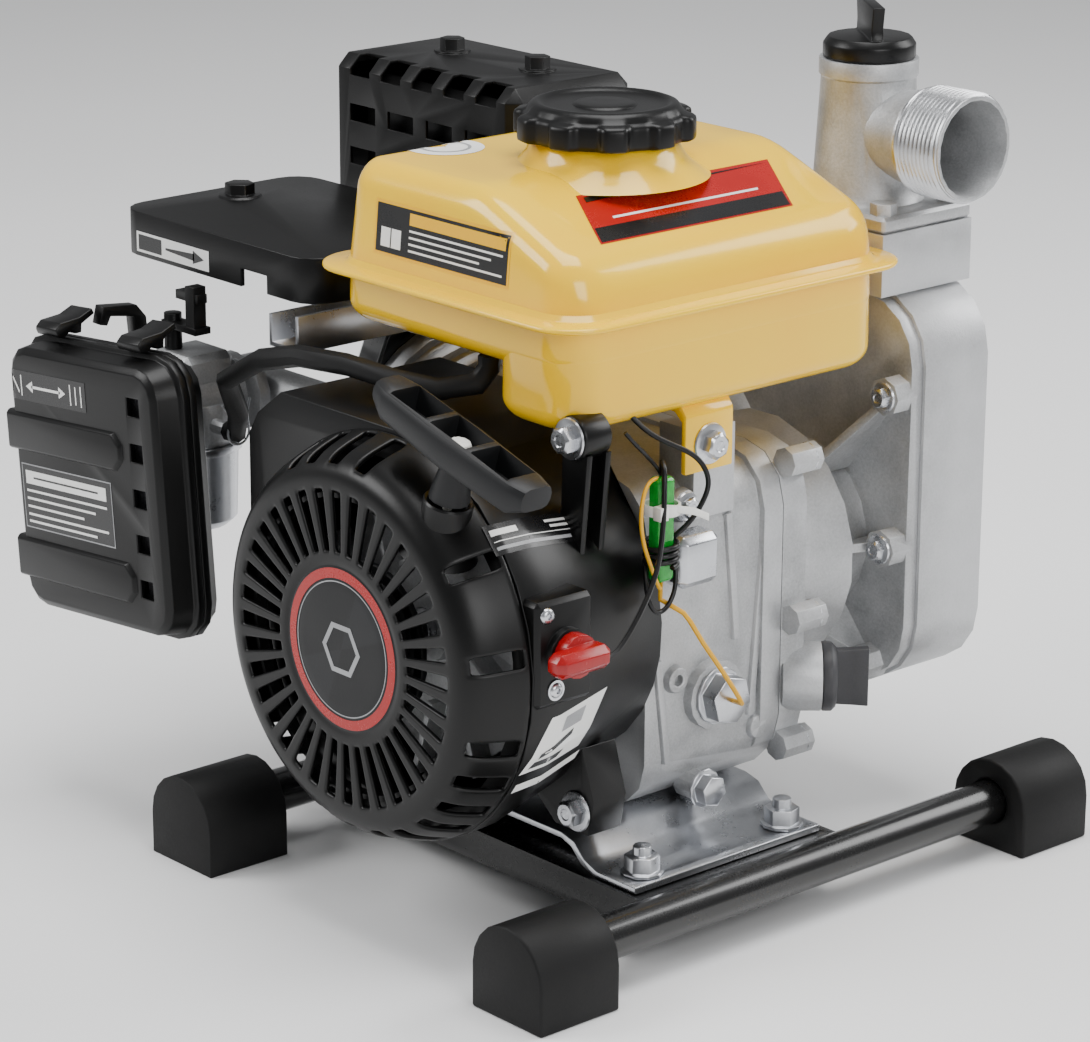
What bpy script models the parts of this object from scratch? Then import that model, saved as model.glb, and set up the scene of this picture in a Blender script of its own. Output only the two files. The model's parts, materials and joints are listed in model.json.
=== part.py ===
"""Small petrol engine with its close-coupled water pump, on a tubular carrying frame.

The design frame has the crank axis above its origin, +X towards the crankcase side,
+Y from the recoil starter to the pump and +Z up.  Sizes are in millimetres and are
turned into metres when a mesh is made.
"""
import math

import bmesh
import bpy
from mathutils import Matrix, Vector

# ---------------------------------------------------------------- driving dimensions
MM = 0.001
GAP = 0.3                    # clearance left between pieces that touch

SHIFT_X = 58.52              # moves the design frame so that the box is centred on the origin
SHIFT_Y = -19.45

CRANK_Z = 125.0
CYLINDER_TILT = math.radians(25.0)
CYLINDER_Y = -4.0
BORE_R = 27.0                # 54 mm bore and 34.8 mm stroke give 79.7 cc
STROKE = 34.8
ROD_LENGTH = 70.0
PORT_REACH = 37.0            # from the cylinder's middle plane to either port face
HEAD_AT = 108.0              # head joint, measured from the crank axis along the cylinder

RAIL_X = 106.0
RAIL_R = 9.5
RAIL_Z = 21.0
FOOT_SIZE = 41.4
FOOT_END_Y = 159.4
CHANNEL_TOP = 27.0
CHANNEL_Y = (-81.5, 32.0)
CRADLE_BOLTS = ((83.0, -66.0), (83.0, 14.0), (-83.0, -66.0), (-83.0, 14.0))

CASE_X = (-58.0, 58.0)
CASE_Y = (-42.0, 33.0)
CASE_Z = (41.5, 184.0)
COVER_Y = (33.3, 47.0)

RECOIL_FACE_Y = -155.0
RECOIL_SEAT_Y = -128.0
RECOIL_SLOTS = 36
BLOWER_R = (86.0, 85.0, 68.0)   # at the recoil seat, the waist and the crankcase
BLOWER_WAIST_Y = -112.0
FAN_BLADES = 10
HANDLE_TILT = math.radians(16.0)
HANDLE_Y = -139.0
ROPE_GUIDE_AT = (46.0, 188.0)     # x, z of the rope guide's mouth

TANK_X = (-83.0, 65.0)
TANK_Y = (-91.0, 87.0)
SEAM_Z = 259.0
SEAM_WIDTH = 9.5
TANK_TOP_Z = 304.0
TANK_TOP_LINE = ((-90.0, 304.0), (4.0, 304.0), (20.0, 298.0), (45.0, 288.0), (64.0, 281.0))
TANK_CORNER = 14.0           # radius of the vertical corners
TANK_EDGE = 9.0              # radius of the top edges
TANK_SHALLOW_Z = 236.0       # floor over the cylinder
TANK_SUMP_Z = 214.0          # floor beside it
FILLER_AT = (-7.0, -8.0)

PUMP_X = 65.0
PUMP_Z = (62.0, 238.0)
PUMP_Y = (113.0, 156.0)
NECK_AT = (10.0, 130.0)
OUTLET_Z = 301.5
THREAD_R = 23.9              # G 1 1/2 pipe thread, 47.8 mm over the crests
PORT_R = 19.8
INLET_Z = 186.0
IMPELLER_R = 48.0

AIR_BOX_X = (-240.0, -123.0)
AIR_BOX_Z = (86.0, 211.0)
AIR_BOX_Y = (-150.0, -134.0, -121.0)   # lid face, seam, back of the base
AIR_BOX_TILT = math.radians(5.0)
CARB_AT = (-188.0, -87.0, 178.0)

FINISHES = {
    "black_paint": ((0.012, 0.012, 0.013), 0.35, 0.0),
    "black_plastic": ((0.018, 0.018, 0.019), 0.45, 0.0),
    "dark_plastic": ((0.045, 0.046, 0.050), 0.5, 0.0),
    "grey_plastic": ((0.12, 0.12, 0.125), 0.45, 0.0),
    "rubber": ((0.02, 0.02, 0.02), 0.8, 0.0),
    "yellow_paint": ((0.90, 0.55, 0.03), 0.22, 0.0),
    "red_plastic": ((0.50, 0.02, 0.02), 0.35, 0.0),
    "green_plastic": ((0.05, 0.55, 0.10), 0.3, 0.0),
    "cast_aluminium": ((0.55, 0.55, 0.56), 0.45, 1.0),
    "zinc_steel": ((0.62, 0.63, 0.65), 0.28, 1.0),
    "machined_steel": ((0.50, 0.50, 0.52), 0.3, 1.0),
    "heat_black": ((0.015, 0.015, 0.015), 0.6, 0.2),
    "brass": ((0.70, 0.50, 0.20), 0.3, 1.0),
    "foam": ((0.10, 0.10, 0.11), 0.9, 0.0),
    "rope": ((0.80, 0.80, 0.76), 0.8, 0.0),
    "yellow_wire": ((0.85, 0.60, 0.10), 0.5, 0.0),
}


# ---------------------------------------------------------------- scene and materials
def clear_scene():
    for obj in list(bpy.data.objects):
        bpy.data.objects.remove(obj, do_unlink=True)


def material(finish):
    """The Principled material of a finish, made on first use."""
    found = bpy.data.materials.get(finish)
    if found:
        return found
    colour, roughness, metallic = FINISHES[finish]
    made = bpy.data.materials.new(finish)
    made.use_nodes = True
    shader = made.node_tree.nodes["Principled BSDF"]
    shader.inputs["Base Color"].default_value = (*colour, 1.0)
    shader.inputs["Roughness"].default_value = roughness
    shader.inputs["Metallic"].default_value = metallic
    made.diffuse_color = (*colour, 1.0)
    return made


def frame_empty():
    """The empty that carries the whole assembly and centres its box on the origin."""
    empty = bpy.data.objects.new("assembly_frame", None)
    empty.location = Vector((SHIFT_X, SHIFT_Y, 0.0)) * MM
    bpy.context.scene.collection.objects.link(empty)
    return empty


def place(name, shape, finish, origin=(0.0, 0.0, 0.0)):
    """Turn a shape into a named object with its origin at the given point."""
    bmesh.ops.recalc_face_normals(shape, faces=shape.faces)
    bmesh.ops.translate(shape, verts=shape.verts, vec=-Vector(origin))
    bmesh.ops.scale(shape, verts=shape.verts, vec=(MM, MM, MM))
    mesh = bpy.data.meshes.new(name)
    shape.to_mesh(mesh)
    shape.free()
    mesh.shade_smooth()
    mesh.set_sharp_from_angle(angle=math.radians(35.0))
    mesh.materials.append(material(finish))
    obj = bpy.data.objects.new(name, mesh)
    obj.location = Vector(origin) * MM
    obj.parent = bpy.data.objects["assembly_frame"]
    bpy.context.scene.collection.objects.link(obj)
    return obj


def combine(obj, operation, *shapes):
    """Cut or unite each shape with the object through a Boolean modifier."""
    for shape in shapes:
        tool = place("%s_%s_%d" % (obj.name, operation.lower(), len(obj.modifiers)),
                     shape, "machined_steel")
        tool.hide_render = True
        tool.display_type = "WIRE"
        step = obj.modifiers.new(operation.title(), "BOOLEAN")
        step.operation = operation
        step.solver = "EXACT"
        step.object = tool
    return obj


def cut(obj, *shapes):
    return combine(obj, "DIFFERENCE", *shapes)


def unite(obj, *shapes):
    return combine(obj, "UNION", *shapes)


# ---------------------------------------------------------------- shapes, in millimetres
def together(*shapes):
    """Several separate closed shapes as one mesh, for one Boolean step."""
    whole = bmesh.new()
    for shape in shapes:
        part = bpy.data.meshes.new("part")
        shape.to_mesh(part)
        shape.free()
        whole.from_mesh(part)
        bpy.data.meshes.remove(part)
    bmesh.ops.recalc_face_normals(whole, faces=whole.faces)
    return whole


def block(low, high, bevel=0.0, segments=2):
    shape = bmesh.new()
    bmesh.ops.create_cube(shape, size=1.0)
    low, high = Vector(low), Vector(high)
    bmesh.ops.scale(shape, verts=shape.verts, vec=high - low)
    bmesh.ops.translate(shape, verts=shape.verts, vec=(low + high) / 2)
    if bevel:
        bmesh.ops.bevel(shape, geom=shape.edges[:], offset=bevel, segments=segments,
                        affect="EDGES", profile=0.5)
    return shape


def prism(outline, axis, low, high):
    """A closed outline in the plane across an axis, extruded from low to high."""
    shape = bmesh.new()

    def point(a, b, along):
        return {"x": (along, a, b), "y": (a, along, b), "z": (a, b, along)}[axis]

    near = [shape.verts.new(point(a, b, low)) for a, b in outline]
    far = [shape.verts.new(point(a, b, high)) for a, b in outline]
    shape.faces.new(near)
    shape.faces.new(far)
    count = len(outline)
    for i in range(count):
        j = (i + 1) % count
        shape.faces.new((near[i], near[j], far[j], far[i]))
    bmesh.ops.recalc_face_normals(shape, faces=shape.faces)
    return shape


def loft(sections):
    """A closed skin through sections that all have the same number of points."""
    shape = bmesh.new()
    rings = [[shape.verts.new(point) for point in section] for section in sections]
    shape.faces.new(rings[0])
    shape.faces.new(rings[-1])
    count = len(rings[0])
    for lower, upper in zip(rings, rings[1:]):
        for i in range(count):
            j = (i + 1) % count
            shape.faces.new((lower[i], lower[j], upper[j], upper[i]))
    quads = [face for face in shape.faces if len(face.verts) == 4]
    bmesh.ops.triangulate(shape, faces=quads)
    bmesh.ops.recalc_face_normals(shape, faces=shape.faces)
    return shape


def turned(profile, start, direction, sides=32):
    """A solid of revolution: (radius, distance) points along a direction from start."""
    axis = Vector(direction).normalized()
    side = axis.orthogonal().normalized()
    other = axis.cross(side)
    start = Vector(start)
    shape = bmesh.new()
    solid = profile[0][0] == 0
    flat_first = solid and profile[0][1] == profile[1][1] and profile[1][0] > 0
    flat_last = solid and profile[-1][1] == profile[-2][1]
    points = profile[1 if flat_first else 0:-1 if flat_last else None]
    rings = []
    for radius, distance in points:
        centre = start + axis * distance
        if radius == 0:
            rings.append([shape.verts.new(centre)])
            continue
        ring = []
        for i in range(sides):
            angle = 2 * math.pi * i / sides
            ring.append(shape.verts.new(
                centre + (side * math.cos(angle) + other * math.sin(angle)) * radius))
        rings.append(ring)
    for flat, ring in ((flat_first, rings[0]), (flat_last, rings[-1])):
        if flat:
            shape.faces.new(ring)
    pairs = list(zip(rings, rings[1:])) + ([] if solid else [(rings[-1], rings[0])])
    for lower, upper in pairs:
        if len(lower) == len(upper) == 1:
            continue
        for i in range(sides):
            j = (i + 1) % sides
            corners = [lower[i % len(lower)], lower[j % len(lower)],
                       upper[j % len(upper)], upper[i % len(upper)]]
            shape.faces.new(list(dict.fromkeys(corners)))
    bmesh.ops.recalc_face_normals(shape, faces=shape.faces)
    return shape


def rod(start, end, radius, sides=16, end_radius=None):
    end_radius = radius if end_radius is None else end_radius
    way = Vector(end) - Vector(start)
    return turned([(0, 0), (radius, 0), (end_radius, way.length), (0, way.length)],
                  start, way, sides)


def hexagon(start, direction, size, head):
    """A hexagon of a width across its flats, from just inside its flange to its end."""
    radius = size / math.sqrt(3.0)
    return turned([(0, 0.7), (radius, 0.7), (radius, head), (0, head)], start, direction, 6)


def flange_and_shank(start, direction, flange, shank=0.0, stud=0.0):
    """A bolt's round flange, standing on start, and the shank behind it."""
    rings = [(0, -shank), (stud, -shank), (stud, 0)] if shank else [(0, 0)]
    return turned(rings + [(flange, 0), (flange, 1.4), (0, 1.4)], start, direction, 12)


def rounded(low, high, radius, steps=4):
    """A rectangle with round corners, as outline points."""
    (x0, y0), (x1, y1) = low, high
    corners = ((x1 - radius, y1 - radius, 0), (x0 + radius, y1 - radius, 90),
               (x0 + radius, y0 + radius, 180), (x1 - radius, y0 + radius, 270))
    points = []
    for cx, cy, start in corners:
        for step in range(steps + 1):
            angle = math.radians(start + 90 * step / steps)
            points.append((cx + radius * math.cos(angle), cy + radius * math.sin(angle)))
    return points


def arc(centre, radius, start, end, steps):
    cx, cy = centre
    return [(cx + radius * math.cos(math.radians(start + (end - start) * i / steps)),
             cy + radius * math.sin(math.radians(start + (end - start) * i / steps)))
            for i in range(steps + 1)]


def spun(shape, angle, centre, axis="Y"):
    """The shape turned about an axis through a centre."""
    turn = Matrix.Rotation(angle, 4, axis)
    middle = Matrix.Translation(Vector(centre))
    bmesh.ops.transform(shape, matrix=middle @ turn @ middle.inverted(), verts=shape.verts)
    return shape


def smooth_route(points, spacing):
    """Points a spacing apart on a Catmull-Rom curve through the route's own points."""
    knots = [Vector(p) for p in points]
    knots = [2 * knots[0] - knots[1]] + knots + [2 * knots[-1] - knots[-2]]
    route = []
    for a, b, c, d in zip(knots, knots[1:], knots[2:], knots[3:]):
        count = max(1, round((c - b).length / spacing))
        for i in range(count):
            t = i / count
            route.append(0.5 * (2 * b + (c - a) * t + (2 * a - 5 * b + 4 * c - d) * t * t
                                + (3 * b - a - 3 * c + d) * t ** 3))
    return route + [knots[-2]]


def cord(name, points, radius, finish):
    """A captive hose or wire: a round bevel along its smooth route."""
    curve = bpy.data.curves.new(name, "CURVE")
    curve.dimensions = "3D"
    curve.bevel_depth = radius * MM
    curve.bevel_resolution = 2
    curve.use_fill_caps = True
    route = smooth_route(points, 5.0 * radius)
    line = curve.splines.new("POLY")
    line.points.add(len(route) - 1)
    for knot, position in zip(line.points, route):
        knot.co = (*(position * MM), 1.0)
    curve.materials.append(material(finish))
    obj = bpy.data.objects.new(name, curve)
    obj.parent = bpy.data.objects["assembly_frame"]
    bpy.context.scene.collection.objects.link(obj)
    return obj


# ---------------------------------------------------------------- carrying frame
def base_frame():
    for side, x in (("left", -RAIL_X), ("right", RAIL_X)):
        place("rail_" + side, rod((x, -146, RAIL_Z), (x, 146, RAIL_Z), RAIL_R, 20),
              "black_paint")
        for end, way in (("front", -1), ("rear", 1)):
            half = FOOT_SIZE / 2
            outline = [(x - half, 0), (x + half, 0)] + arc((x, 19.3), half, 0, 180, 10)
            inner, outer = way * (FOOT_END_Y - FOOT_SIZE), way * FOOT_END_Y
            foot = place("rubber_foot_%s_%s" % (end, side),
                         prism(outline, "y", inner, outer), "rubber")
            cut(foot, rod((x, inner - way, RAIL_Z), (x, way * 147, RAIL_Z),
                          RAIL_R + GAP, 20))
    wall = 2.5
    low, high = CHANNEL_Y
    section = [(low, 13), (low, CHANNEL_TOP), (high, CHANNEL_TOP), (high, 13),
               (high - wall, 13), (high - wall, CHANNEL_TOP - wall),
               (low + wall, CHANNEL_TOP - wall), (low + wall, 13)]
    channel = place("cross_channel", prism(section, "x", -99, 99), "black_paint")
    cut(channel, together(*[rod((x, -120, RAIL_Z), (x, 120, RAIL_Z), RAIL_R + GAP, 20)
                            for x in (-RAIL_X, RAIL_X)]),
        together(*[rod((x, y, 20), (x, y, 40), 4.4, 10) for x, y in CRADLE_BOLTS]))


def engine_cradle():
    """Zinc-plated pressed bracket between the channel and the crankcase, with its bolts."""
    z = CHANNEL_TOP + GAP
    top = CASE_Z[0] - GAP
    half = [(93, z), (93, z + 3), (70, z + 3), (62, z + 6), (56, top - 2), (48, top)]
    under = [(48, top - 3), (54, top - 5), (60, z + 3), (68, z)]
    outline = (half + [(-x, h) for x, h in reversed(half)]
               + [(-x, h) for x, h in under[::-1]] + under)
    cradle = place("engine_cradle", prism(outline, "y", -79, 27), "zinc_steel")
    cut(cradle, together(*[rod((x, y, 20), (x, y, 40), 4.4, 10)
                           for x, y in CRADLE_BOLTS]))
    names = ("front_right", "rear_right", "front_left", "rear_left")
    for name, (x, y) in zip(names, CRADLE_BOLTS):
        seat = z + 3 + GAP
        nut = hexagon((x, y, seat), (0, 0, 1), 13.0, 8.0)
        stud = turned([(0, -12), (7.5, -12), (7.5, -9.2), (4, -9.2), (4, 0), (9, 0), (9, 1.4),
                       (4, 1.4), (4, 12), (0, 12)], (x, y, seat), (0, 0, 1), 10)
        unite(place("cradle_bolt_" + name, stud, "zinc_steel"), nut)


# ---------------------------------------------------------------- engine block
def along_cylinder(distance, lift=0.0, y=CYLINDER_Y):
    """A point at a distance from the crank along the cylinder, lifted square to it."""
    return Vector((-distance * math.cos(CYLINDER_TILT) + lift * math.sin(CYLINDER_TILT), y,
                   CRANK_Z + distance * math.sin(CYLINDER_TILT)
                   + lift * math.cos(CYLINDER_TILT)))


def cylinder_way():
    return Vector((-math.cos(CYLINDER_TILT), 0.0, math.sin(CYLINDER_TILT)))


def finned(start, end, core, fin, count):
    """A profile with square cooling fins between two distances."""
    profile = [(0, start)]
    pitch = (end - start) / count
    for i in range(count):
        at = start + i * pitch
        profile += [(fin, at), (fin, at + pitch * 0.45), (core, at + pitch * 0.45),
                    (core, at + pitch)]
    return profile[:-1] + [(core, end), (0, end)]


FILLER_SEAT = Vector((63.8, 55.0, 82.0))
FILLER_WAY = Vector((0.66, 0.75, 0.0)).normalized()
SENSOR_SEAT = Vector((63.0, -5.5, 87.5))
DRAIN_SEAT = Vector((62.0, -12.0, 47.7))
CASE_BOSSES = ((60, 180), (65, 112), (59, 54), (-60, 180), (-65, 112), (-59, 54))


def crankcase():
    outline = rounded((CASE_X[0], CASE_Z[0]), (CASE_X[1], CASE_Z[1]), 22, 3)
    case = place("crankcase", prism(outline, "y", *CASE_Y), "cast_aluminium")
    barrel = turned(finned(44, HEAD_AT - GAP, 31, 36.5, 4), along_cylinder(0),
                    cylinder_way(), 20)
    flange = rounded((CASE_X[0] - 3, CASE_Z[0] + 4), (CASE_X[1] + 3, CASE_Z[1] + 2), 24, 3)
    sensor, drain = SENSOR_SEAT, DRAIN_SEAT
    unite(case, barrel, prism(flange, "y", 22, CASE_Y[1] - 0.3),
          block((38, -17, 165), (58.6, 6, 203)),
          rod((48, sensor.y, sensor.z), sensor, 15, 16),
          rod((51, drain.y, drain.z), drain, 6.6, 10))
    cut(case, rod((0, -36, CRANK_Z), (0, 40, CRANK_Z), 46, 24),
        rod(along_cylinder(20), along_cylinder(HEAD_AT + 5), BORE_R, 20),
        rod((0, -46, CRANK_Z), (0, -20, CRANK_Z), 10.6, 12),
        block((-44, -33.4, 50.6), (44, 37.3, 92.7)),
        rod((36, sensor.y, sensor.z), (70, sensor.y, sensor.z), 6.4, 10),
        rod((40, drain.y, drain.z), (70, drain.y, drain.z), 5.0, 8))


def crankcase_cover():
    outline = rounded((CASE_X[0] - 3, CASE_Z[0] + 4), (CASE_X[1] + 3, CASE_Z[1] + 2), 24, 3)
    cover = place("crankcase_cover", prism(outline, "y", *COVER_Y), "cast_aluminium")
    seat = FILLER_SEAT
    unite(cover, together(*[rod((x, COVER_Y[0] + 0.4, z), (x, COVER_Y[1] + 4, z), 6.6, 8)
                            for x, z in CASE_BOSSES]),
          rod((0, 40, CRANK_Z), (0, 56, CRANK_Z), 26, 20),
          rod(seat - FILLER_WAY * 17, seat, 15, 16))
    cut(cover, rod((0, 20, CRANK_Z), (0, 60, CRANK_Z), 12.9, 16),
        rod(seat - FILLER_WAY * 22, seat + FILLER_WAY * 5, 9.5, 12))


def cylinder_head():
    head = place("cylinder_head",
                 turned(finned(HEAD_AT, 140, 32, 36.5, 3), along_cylinder(0),
                        cylinder_way(), 20), "cast_aluminium")
    port = along_cylinder(126)
    across = Vector((0, PORT_REACH, 0))
    plug = along_cylinder(104, -24)
    unite(head, rod(port - across, port + across, 14, 14))
    cut(head, rod(along_cylinder(100), along_cylinder(114.5), 26, 16),
        rod(port - across * 1.1, port - across * 0.5, 9, 10),
        rod(port + across * 0.5, port + across * 1.1, 9, 10),
        rod(plug, plug + cylinder_way() * 50, 5.4, 10))
    way = cylinder_way()
    up = Vector((math.sin(CYLINDER_TILT), 0, math.cos(CYLINDER_TILT)))

    def section(distance, grow):
        points = rounded((-28 - grow, -11 - grow), (28 + grow, 34 + grow), 9, 3)
        return [along_cylinder(distance) + Vector((0, a, 0)) + up * b for a, b in points]

    place("rocker_cover", loft([section(140.3, 3), section(143, 3), section(143.5, 0),
                                section(158, -1), section(163, -6)]), "black_paint")
    place("spark_plug", turned([(0, 0), (4.9, 0), (4.9, 28.4), (9.2, 28.4), (9.2, 36), (5, 36),
                                (4.2, 50), (0, 50)], along_cylinder(112, -24), way, 10),
          "machined_steel")
    cap = place("spark_plug_cap",
                turned([(5.5, 0), (8, 0), (8, 22), (0, 22), (0, 13), (5.5, 13)],
                       along_cylinder(150, -24), way, 10), "rubber")
    elbow = along_cylinder(167, -24)
    unite(cap, rod(elbow, elbow + Vector((0, -24, 0)), 4.6, 8))


def crank_train():
    """Crankshaft, connecting rod and piston, with the piston at top dead centre."""
    way = cylinder_way()
    throw = STROKE / 2
    pin = along_cylinder(throw)
    shaft = turned([(0, -116), (8, -116), (8, -60), (10, -60), (10, -20), (0, -20)],
                   (0, 0, CRANK_Z), (0, 1, 0), 16)
    crank = place("crankshaft", shaft, "machined_steel", origin=(0, 0, CRANK_Z))
    output = turned([(0, 12), (12.5, 12), (12.5, 64), (9, 64), (9, 134), (0, 134)],
                    (0, 0, CRANK_Z), (0, 1, 0), 16)
    weights = []
    for low, high in ((-21, -11), (3, 13)):
        counter = arc((0, 0), 38, 215, 325, 6)
        cheek = [(13, 12), (10, 26), (-10, 26), (-13, 12)]
        weights.append(prism(counter + cheek, "y", low, high))
    for weight in weights:
        bmesh.ops.rotate(weight, verts=weight.verts, cent=(0, 0, 0),
                         matrix=Matrix.Rotation(-math.pi / 2 + CYLINDER_TILT, 3, "Y"))
        bmesh.ops.translate(weight, verts=weight.verts, vec=(0, 0, CRANK_Z))
    journal = rod(pin - Vector((0, 10, 0)), pin + Vector((0, 10, 0)), 7.9, 14)
    unite(crank, *weights, journal, output)

    small_end = along_cylinder(throw + ROD_LENGTH)
    half = Vector((0, 6, 0))
    link = place("connecting_rod", rod(pin - half, pin + half, 13, 16), "cast_aluminium",
                 origin=pin)
    beam = rod(pin + way * 9, small_end - way * 2, 4.2, 8)
    unite(link, beam, rod(small_end - half, small_end + half, 5.8, 12),
          rod(small_end - half * 1.8, small_end + half * 1.8, 3.2, 8))
    cut(link, rod(pin - half * 2, pin + half * 2, 8.4, 16))

    crown = HEAD_AT - 1.0
    radius = BORE_R - GAP
    piston = turned([(radius, crown - 32), (radius, crown), (0, crown), (0, crown - 5),
                     (radius - 2.2, crown - 5.5),
                     (radius - 2.2, crown - 32)], along_cylinder(0), way, 20)
    place("piston", piston, "cast_aluminium", origin=along_cylinder(crown))


# ---------------------------------------------------------------- cooling and starting
def blower_outline(radius, shrink):
    """The scroll of the blower housing seen from the front, closing round the crankcase."""
    s = shrink
    r = radius - s
    points = arc((0, CRANK_Z), r, -168, 52, 18)
    return points + [(r * 0.37, 204 - s), (10, 212 - s), (-72, 212 - s), (-88 + s, 200 - s),
                     (-94 + s, 190 - s), (-94 + s, 152), (-r * 1.04, 136)]


def blower_shape(shrink, low=RECOIL_SEAT_Y, high=CASE_Y[0] - GAP):
    rings = ((low, BLOWER_R[0]), (BLOWER_WAIST_Y, BLOWER_R[1]), (high, BLOWER_R[2]))
    return loft([[(x, y, z) for x, z in blower_outline(radius, shrink)]
                 for y, radius in rings])


def blower_housing():
    wall = 2.6
    housing = place("blower_housing", blower_shape(0.0), "black_plastic")
    foot = [(34, 60), (50, 47), (70, 47), (73, 62), (66, 84)]
    unite(housing, prism(foot, "y", -84, -66))
    cut(housing, blower_shape(wall, RECOIL_SEAT_Y + wall, -34),
        rod((0, -140, CRANK_Z), (0, -110, CRANK_Z), 74, 28),
        rod((63, -90, 56), (63, -50, 56), 3.4, 8))


def recoil_slot(angle, inner, outer, inner_width, outer_width, low, high):
    """One tapered radial slot, as a cutter about the crank axis."""
    a, b = inner_width / 2, outer_width / 2
    shape = prism([(-a, inner), (a, inner), (b, outer), (-b, outer)], "y", low, high)
    spun(shape, angle, (0, 0, 0))
    bmesh.ops.translate(shape, verts=shape.verts, vec=(0, 0, CRANK_Z))
    return shape


def pull_way():
    return Vector((math.sin(HANDLE_TILT), 0.0, math.cos(HANDLE_TILT)))


def recoil_starter():
    face, seat = RECOIL_FACE_Y, RECOIL_SEAT_Y - GAP
    outer = [(0, face), (66, face), (75, face + 4), (80, face + 13), (86, seat)]
    inner = [(82, seat), (76.5, face + 13), (66, face + 2.8), (5.9, face + 2.8),
             (5.9, face + 22), (0, face + 22)]
    cover = place("recoil_cover",
                  turned(outer + inner, (0, 0, CRANK_Z), (0, 1, 0), 36), "dark_plastic")
    mouth = Vector((ROPE_GUIDE_AT[0], HANDLE_Y, ROPE_GUIDE_AT[1]))
    way = pull_way()
    unite(cover, rod(mouth - way * 14, mouth + way * 8, 9.5, 12, 8.0))
    step = 2 * math.pi / RECOIL_SLOTS
    cut(cover, together(*[recoil_slot((i + 0.5) * step, 40, 63, 3.4, 6.4, face - 5, face + 8)
                          for i in range(RECOIL_SLOTS)]),
        rod(mouth - way * 30, mouth + way * 10, 3.0, 8))

    pulley = place("starter_pulley",
                   turned([(6.4, face + 5), (34, face + 5), (34, face + 8), (29, face + 8),
                           (29, face + 14), (34, face + 14), (34, face + 17),
                           (6.4, face + 17)], (0, 0, CRANK_Z), (0, 1, 0), 20),
                   "dark_plastic", origin=(0, 0, CRANK_Z))
    unite(pulley, together(*[block((-3, face + 16.5, CRANK_Z + r), (3, face + 23, CRANK_Z + r + 8))
                             for r in (14, -22)]))

    grip_centre = mouth + way * 31
    bar = Vector((way.z, 0, -way.x))
    handle = place("pull_handle", turned([(0, 9.0), (8.5, 9.0), (6.2, 22), (7.5, 27), (0, 27)],
                                         mouth, way, 14),
                   "dark_plastic", origin=mouth)

    def grip_section(along, half_width, drop, rise):
        middle = grip_centre + bar * along
        points = rounded((-half_width, -drop), (half_width, rise), 3.5, 2)
        return [middle + Vector((0, a, 0)) + way * b for a, b in points]

    unite(handle, loft([grip_section(-46, 7.5, 2, 8), grip_section(-38, 9.5, 6, 8),
                        grip_section(0, 10.5, 7, 8), grip_section(38, 9.5, 6, 8),
                        grip_section(46, 7.5, 2, 8)]))

    def pocket(low, high):
        corners = []
        for rise in (-3.0, 12.0):
            corners.append([grip_centre + bar * a + Vector((0, b, 0)) + way * rise
                            for a, b in ((low, -7.5), (high, -7.5), (high, 7.5), (low, 7.5))])
        return loft(corners)

    cut(handle, together(pocket(-36, -14), pocket(-11, 11), pocket(14, 36)),
        rod(mouth, grip_centre + way * 2, 2.3, 10))
    rope = place("starter_rope",
                 rod(mouth - way * 12, grip_centre + way * 0.5, 2.0, 10), "rope",
                 origin=mouth)
    knot = turned([(0, -2.6), (4.2, -2.6), (5.6, 0), (4.2, 3.4), (0, 3.4)], grip_centre,
                  way, 10)
    unite(rope, knot)


def flywheel():
    wheel = place("flywheel",
                  turned([(8.3, -112), (15, -112), (15, -106), (60, -104), (60, -72),
                          (56, -72), (56, -98), (20, -98), (20, -62), (8.3, -62)],
                         (0, 0, CRANK_Z), (0, 1, 0), 20), "cast_aluminium",
                  origin=(0, 0, CRANK_Z))
    blades = []
    for i in range(FAN_BLADES):
        blade = block((-1.5, -113.5, 30), (1.5, -102, 66))
        spun(blade, math.radians(18), (0, 0, 48), "Y")
        spun(blade, 2 * math.pi * i / FAN_BLADES, (0, 0, 0))
        bmesh.ops.translate(blade, verts=blade.verts, vec=(0, 0, CRANK_Z))
        blades.append(blade)
    unite(wheel, together(*blades))


# ---------------------------------------------------------------- fuel tank
def tank_plan(inset, low_x=None):
    """The tank's plan outline, drawn in by an inset, as far left as low_x."""
    low_x = TANK_X[0] if low_x is None else low_x
    return rounded((low_x + inset, TANK_Y[0] + inset),
                   (TANK_X[1] - inset, TANK_Y[1] - inset), TANK_CORNER - inset * 0.4, 3)


def tank_top_at(x):
    """Height of the tank's top along its length: level, then sloping to the right."""
    for (x0, z0), (x1, z1) in zip(TANK_TOP_LINE, TANK_TOP_LINE[1:]):
        if x <= x1:
            return z0 + (z1 - z0) * (x - x0) / (x1 - x0)
    return TANK_TOP_LINE[-1][1]


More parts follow.
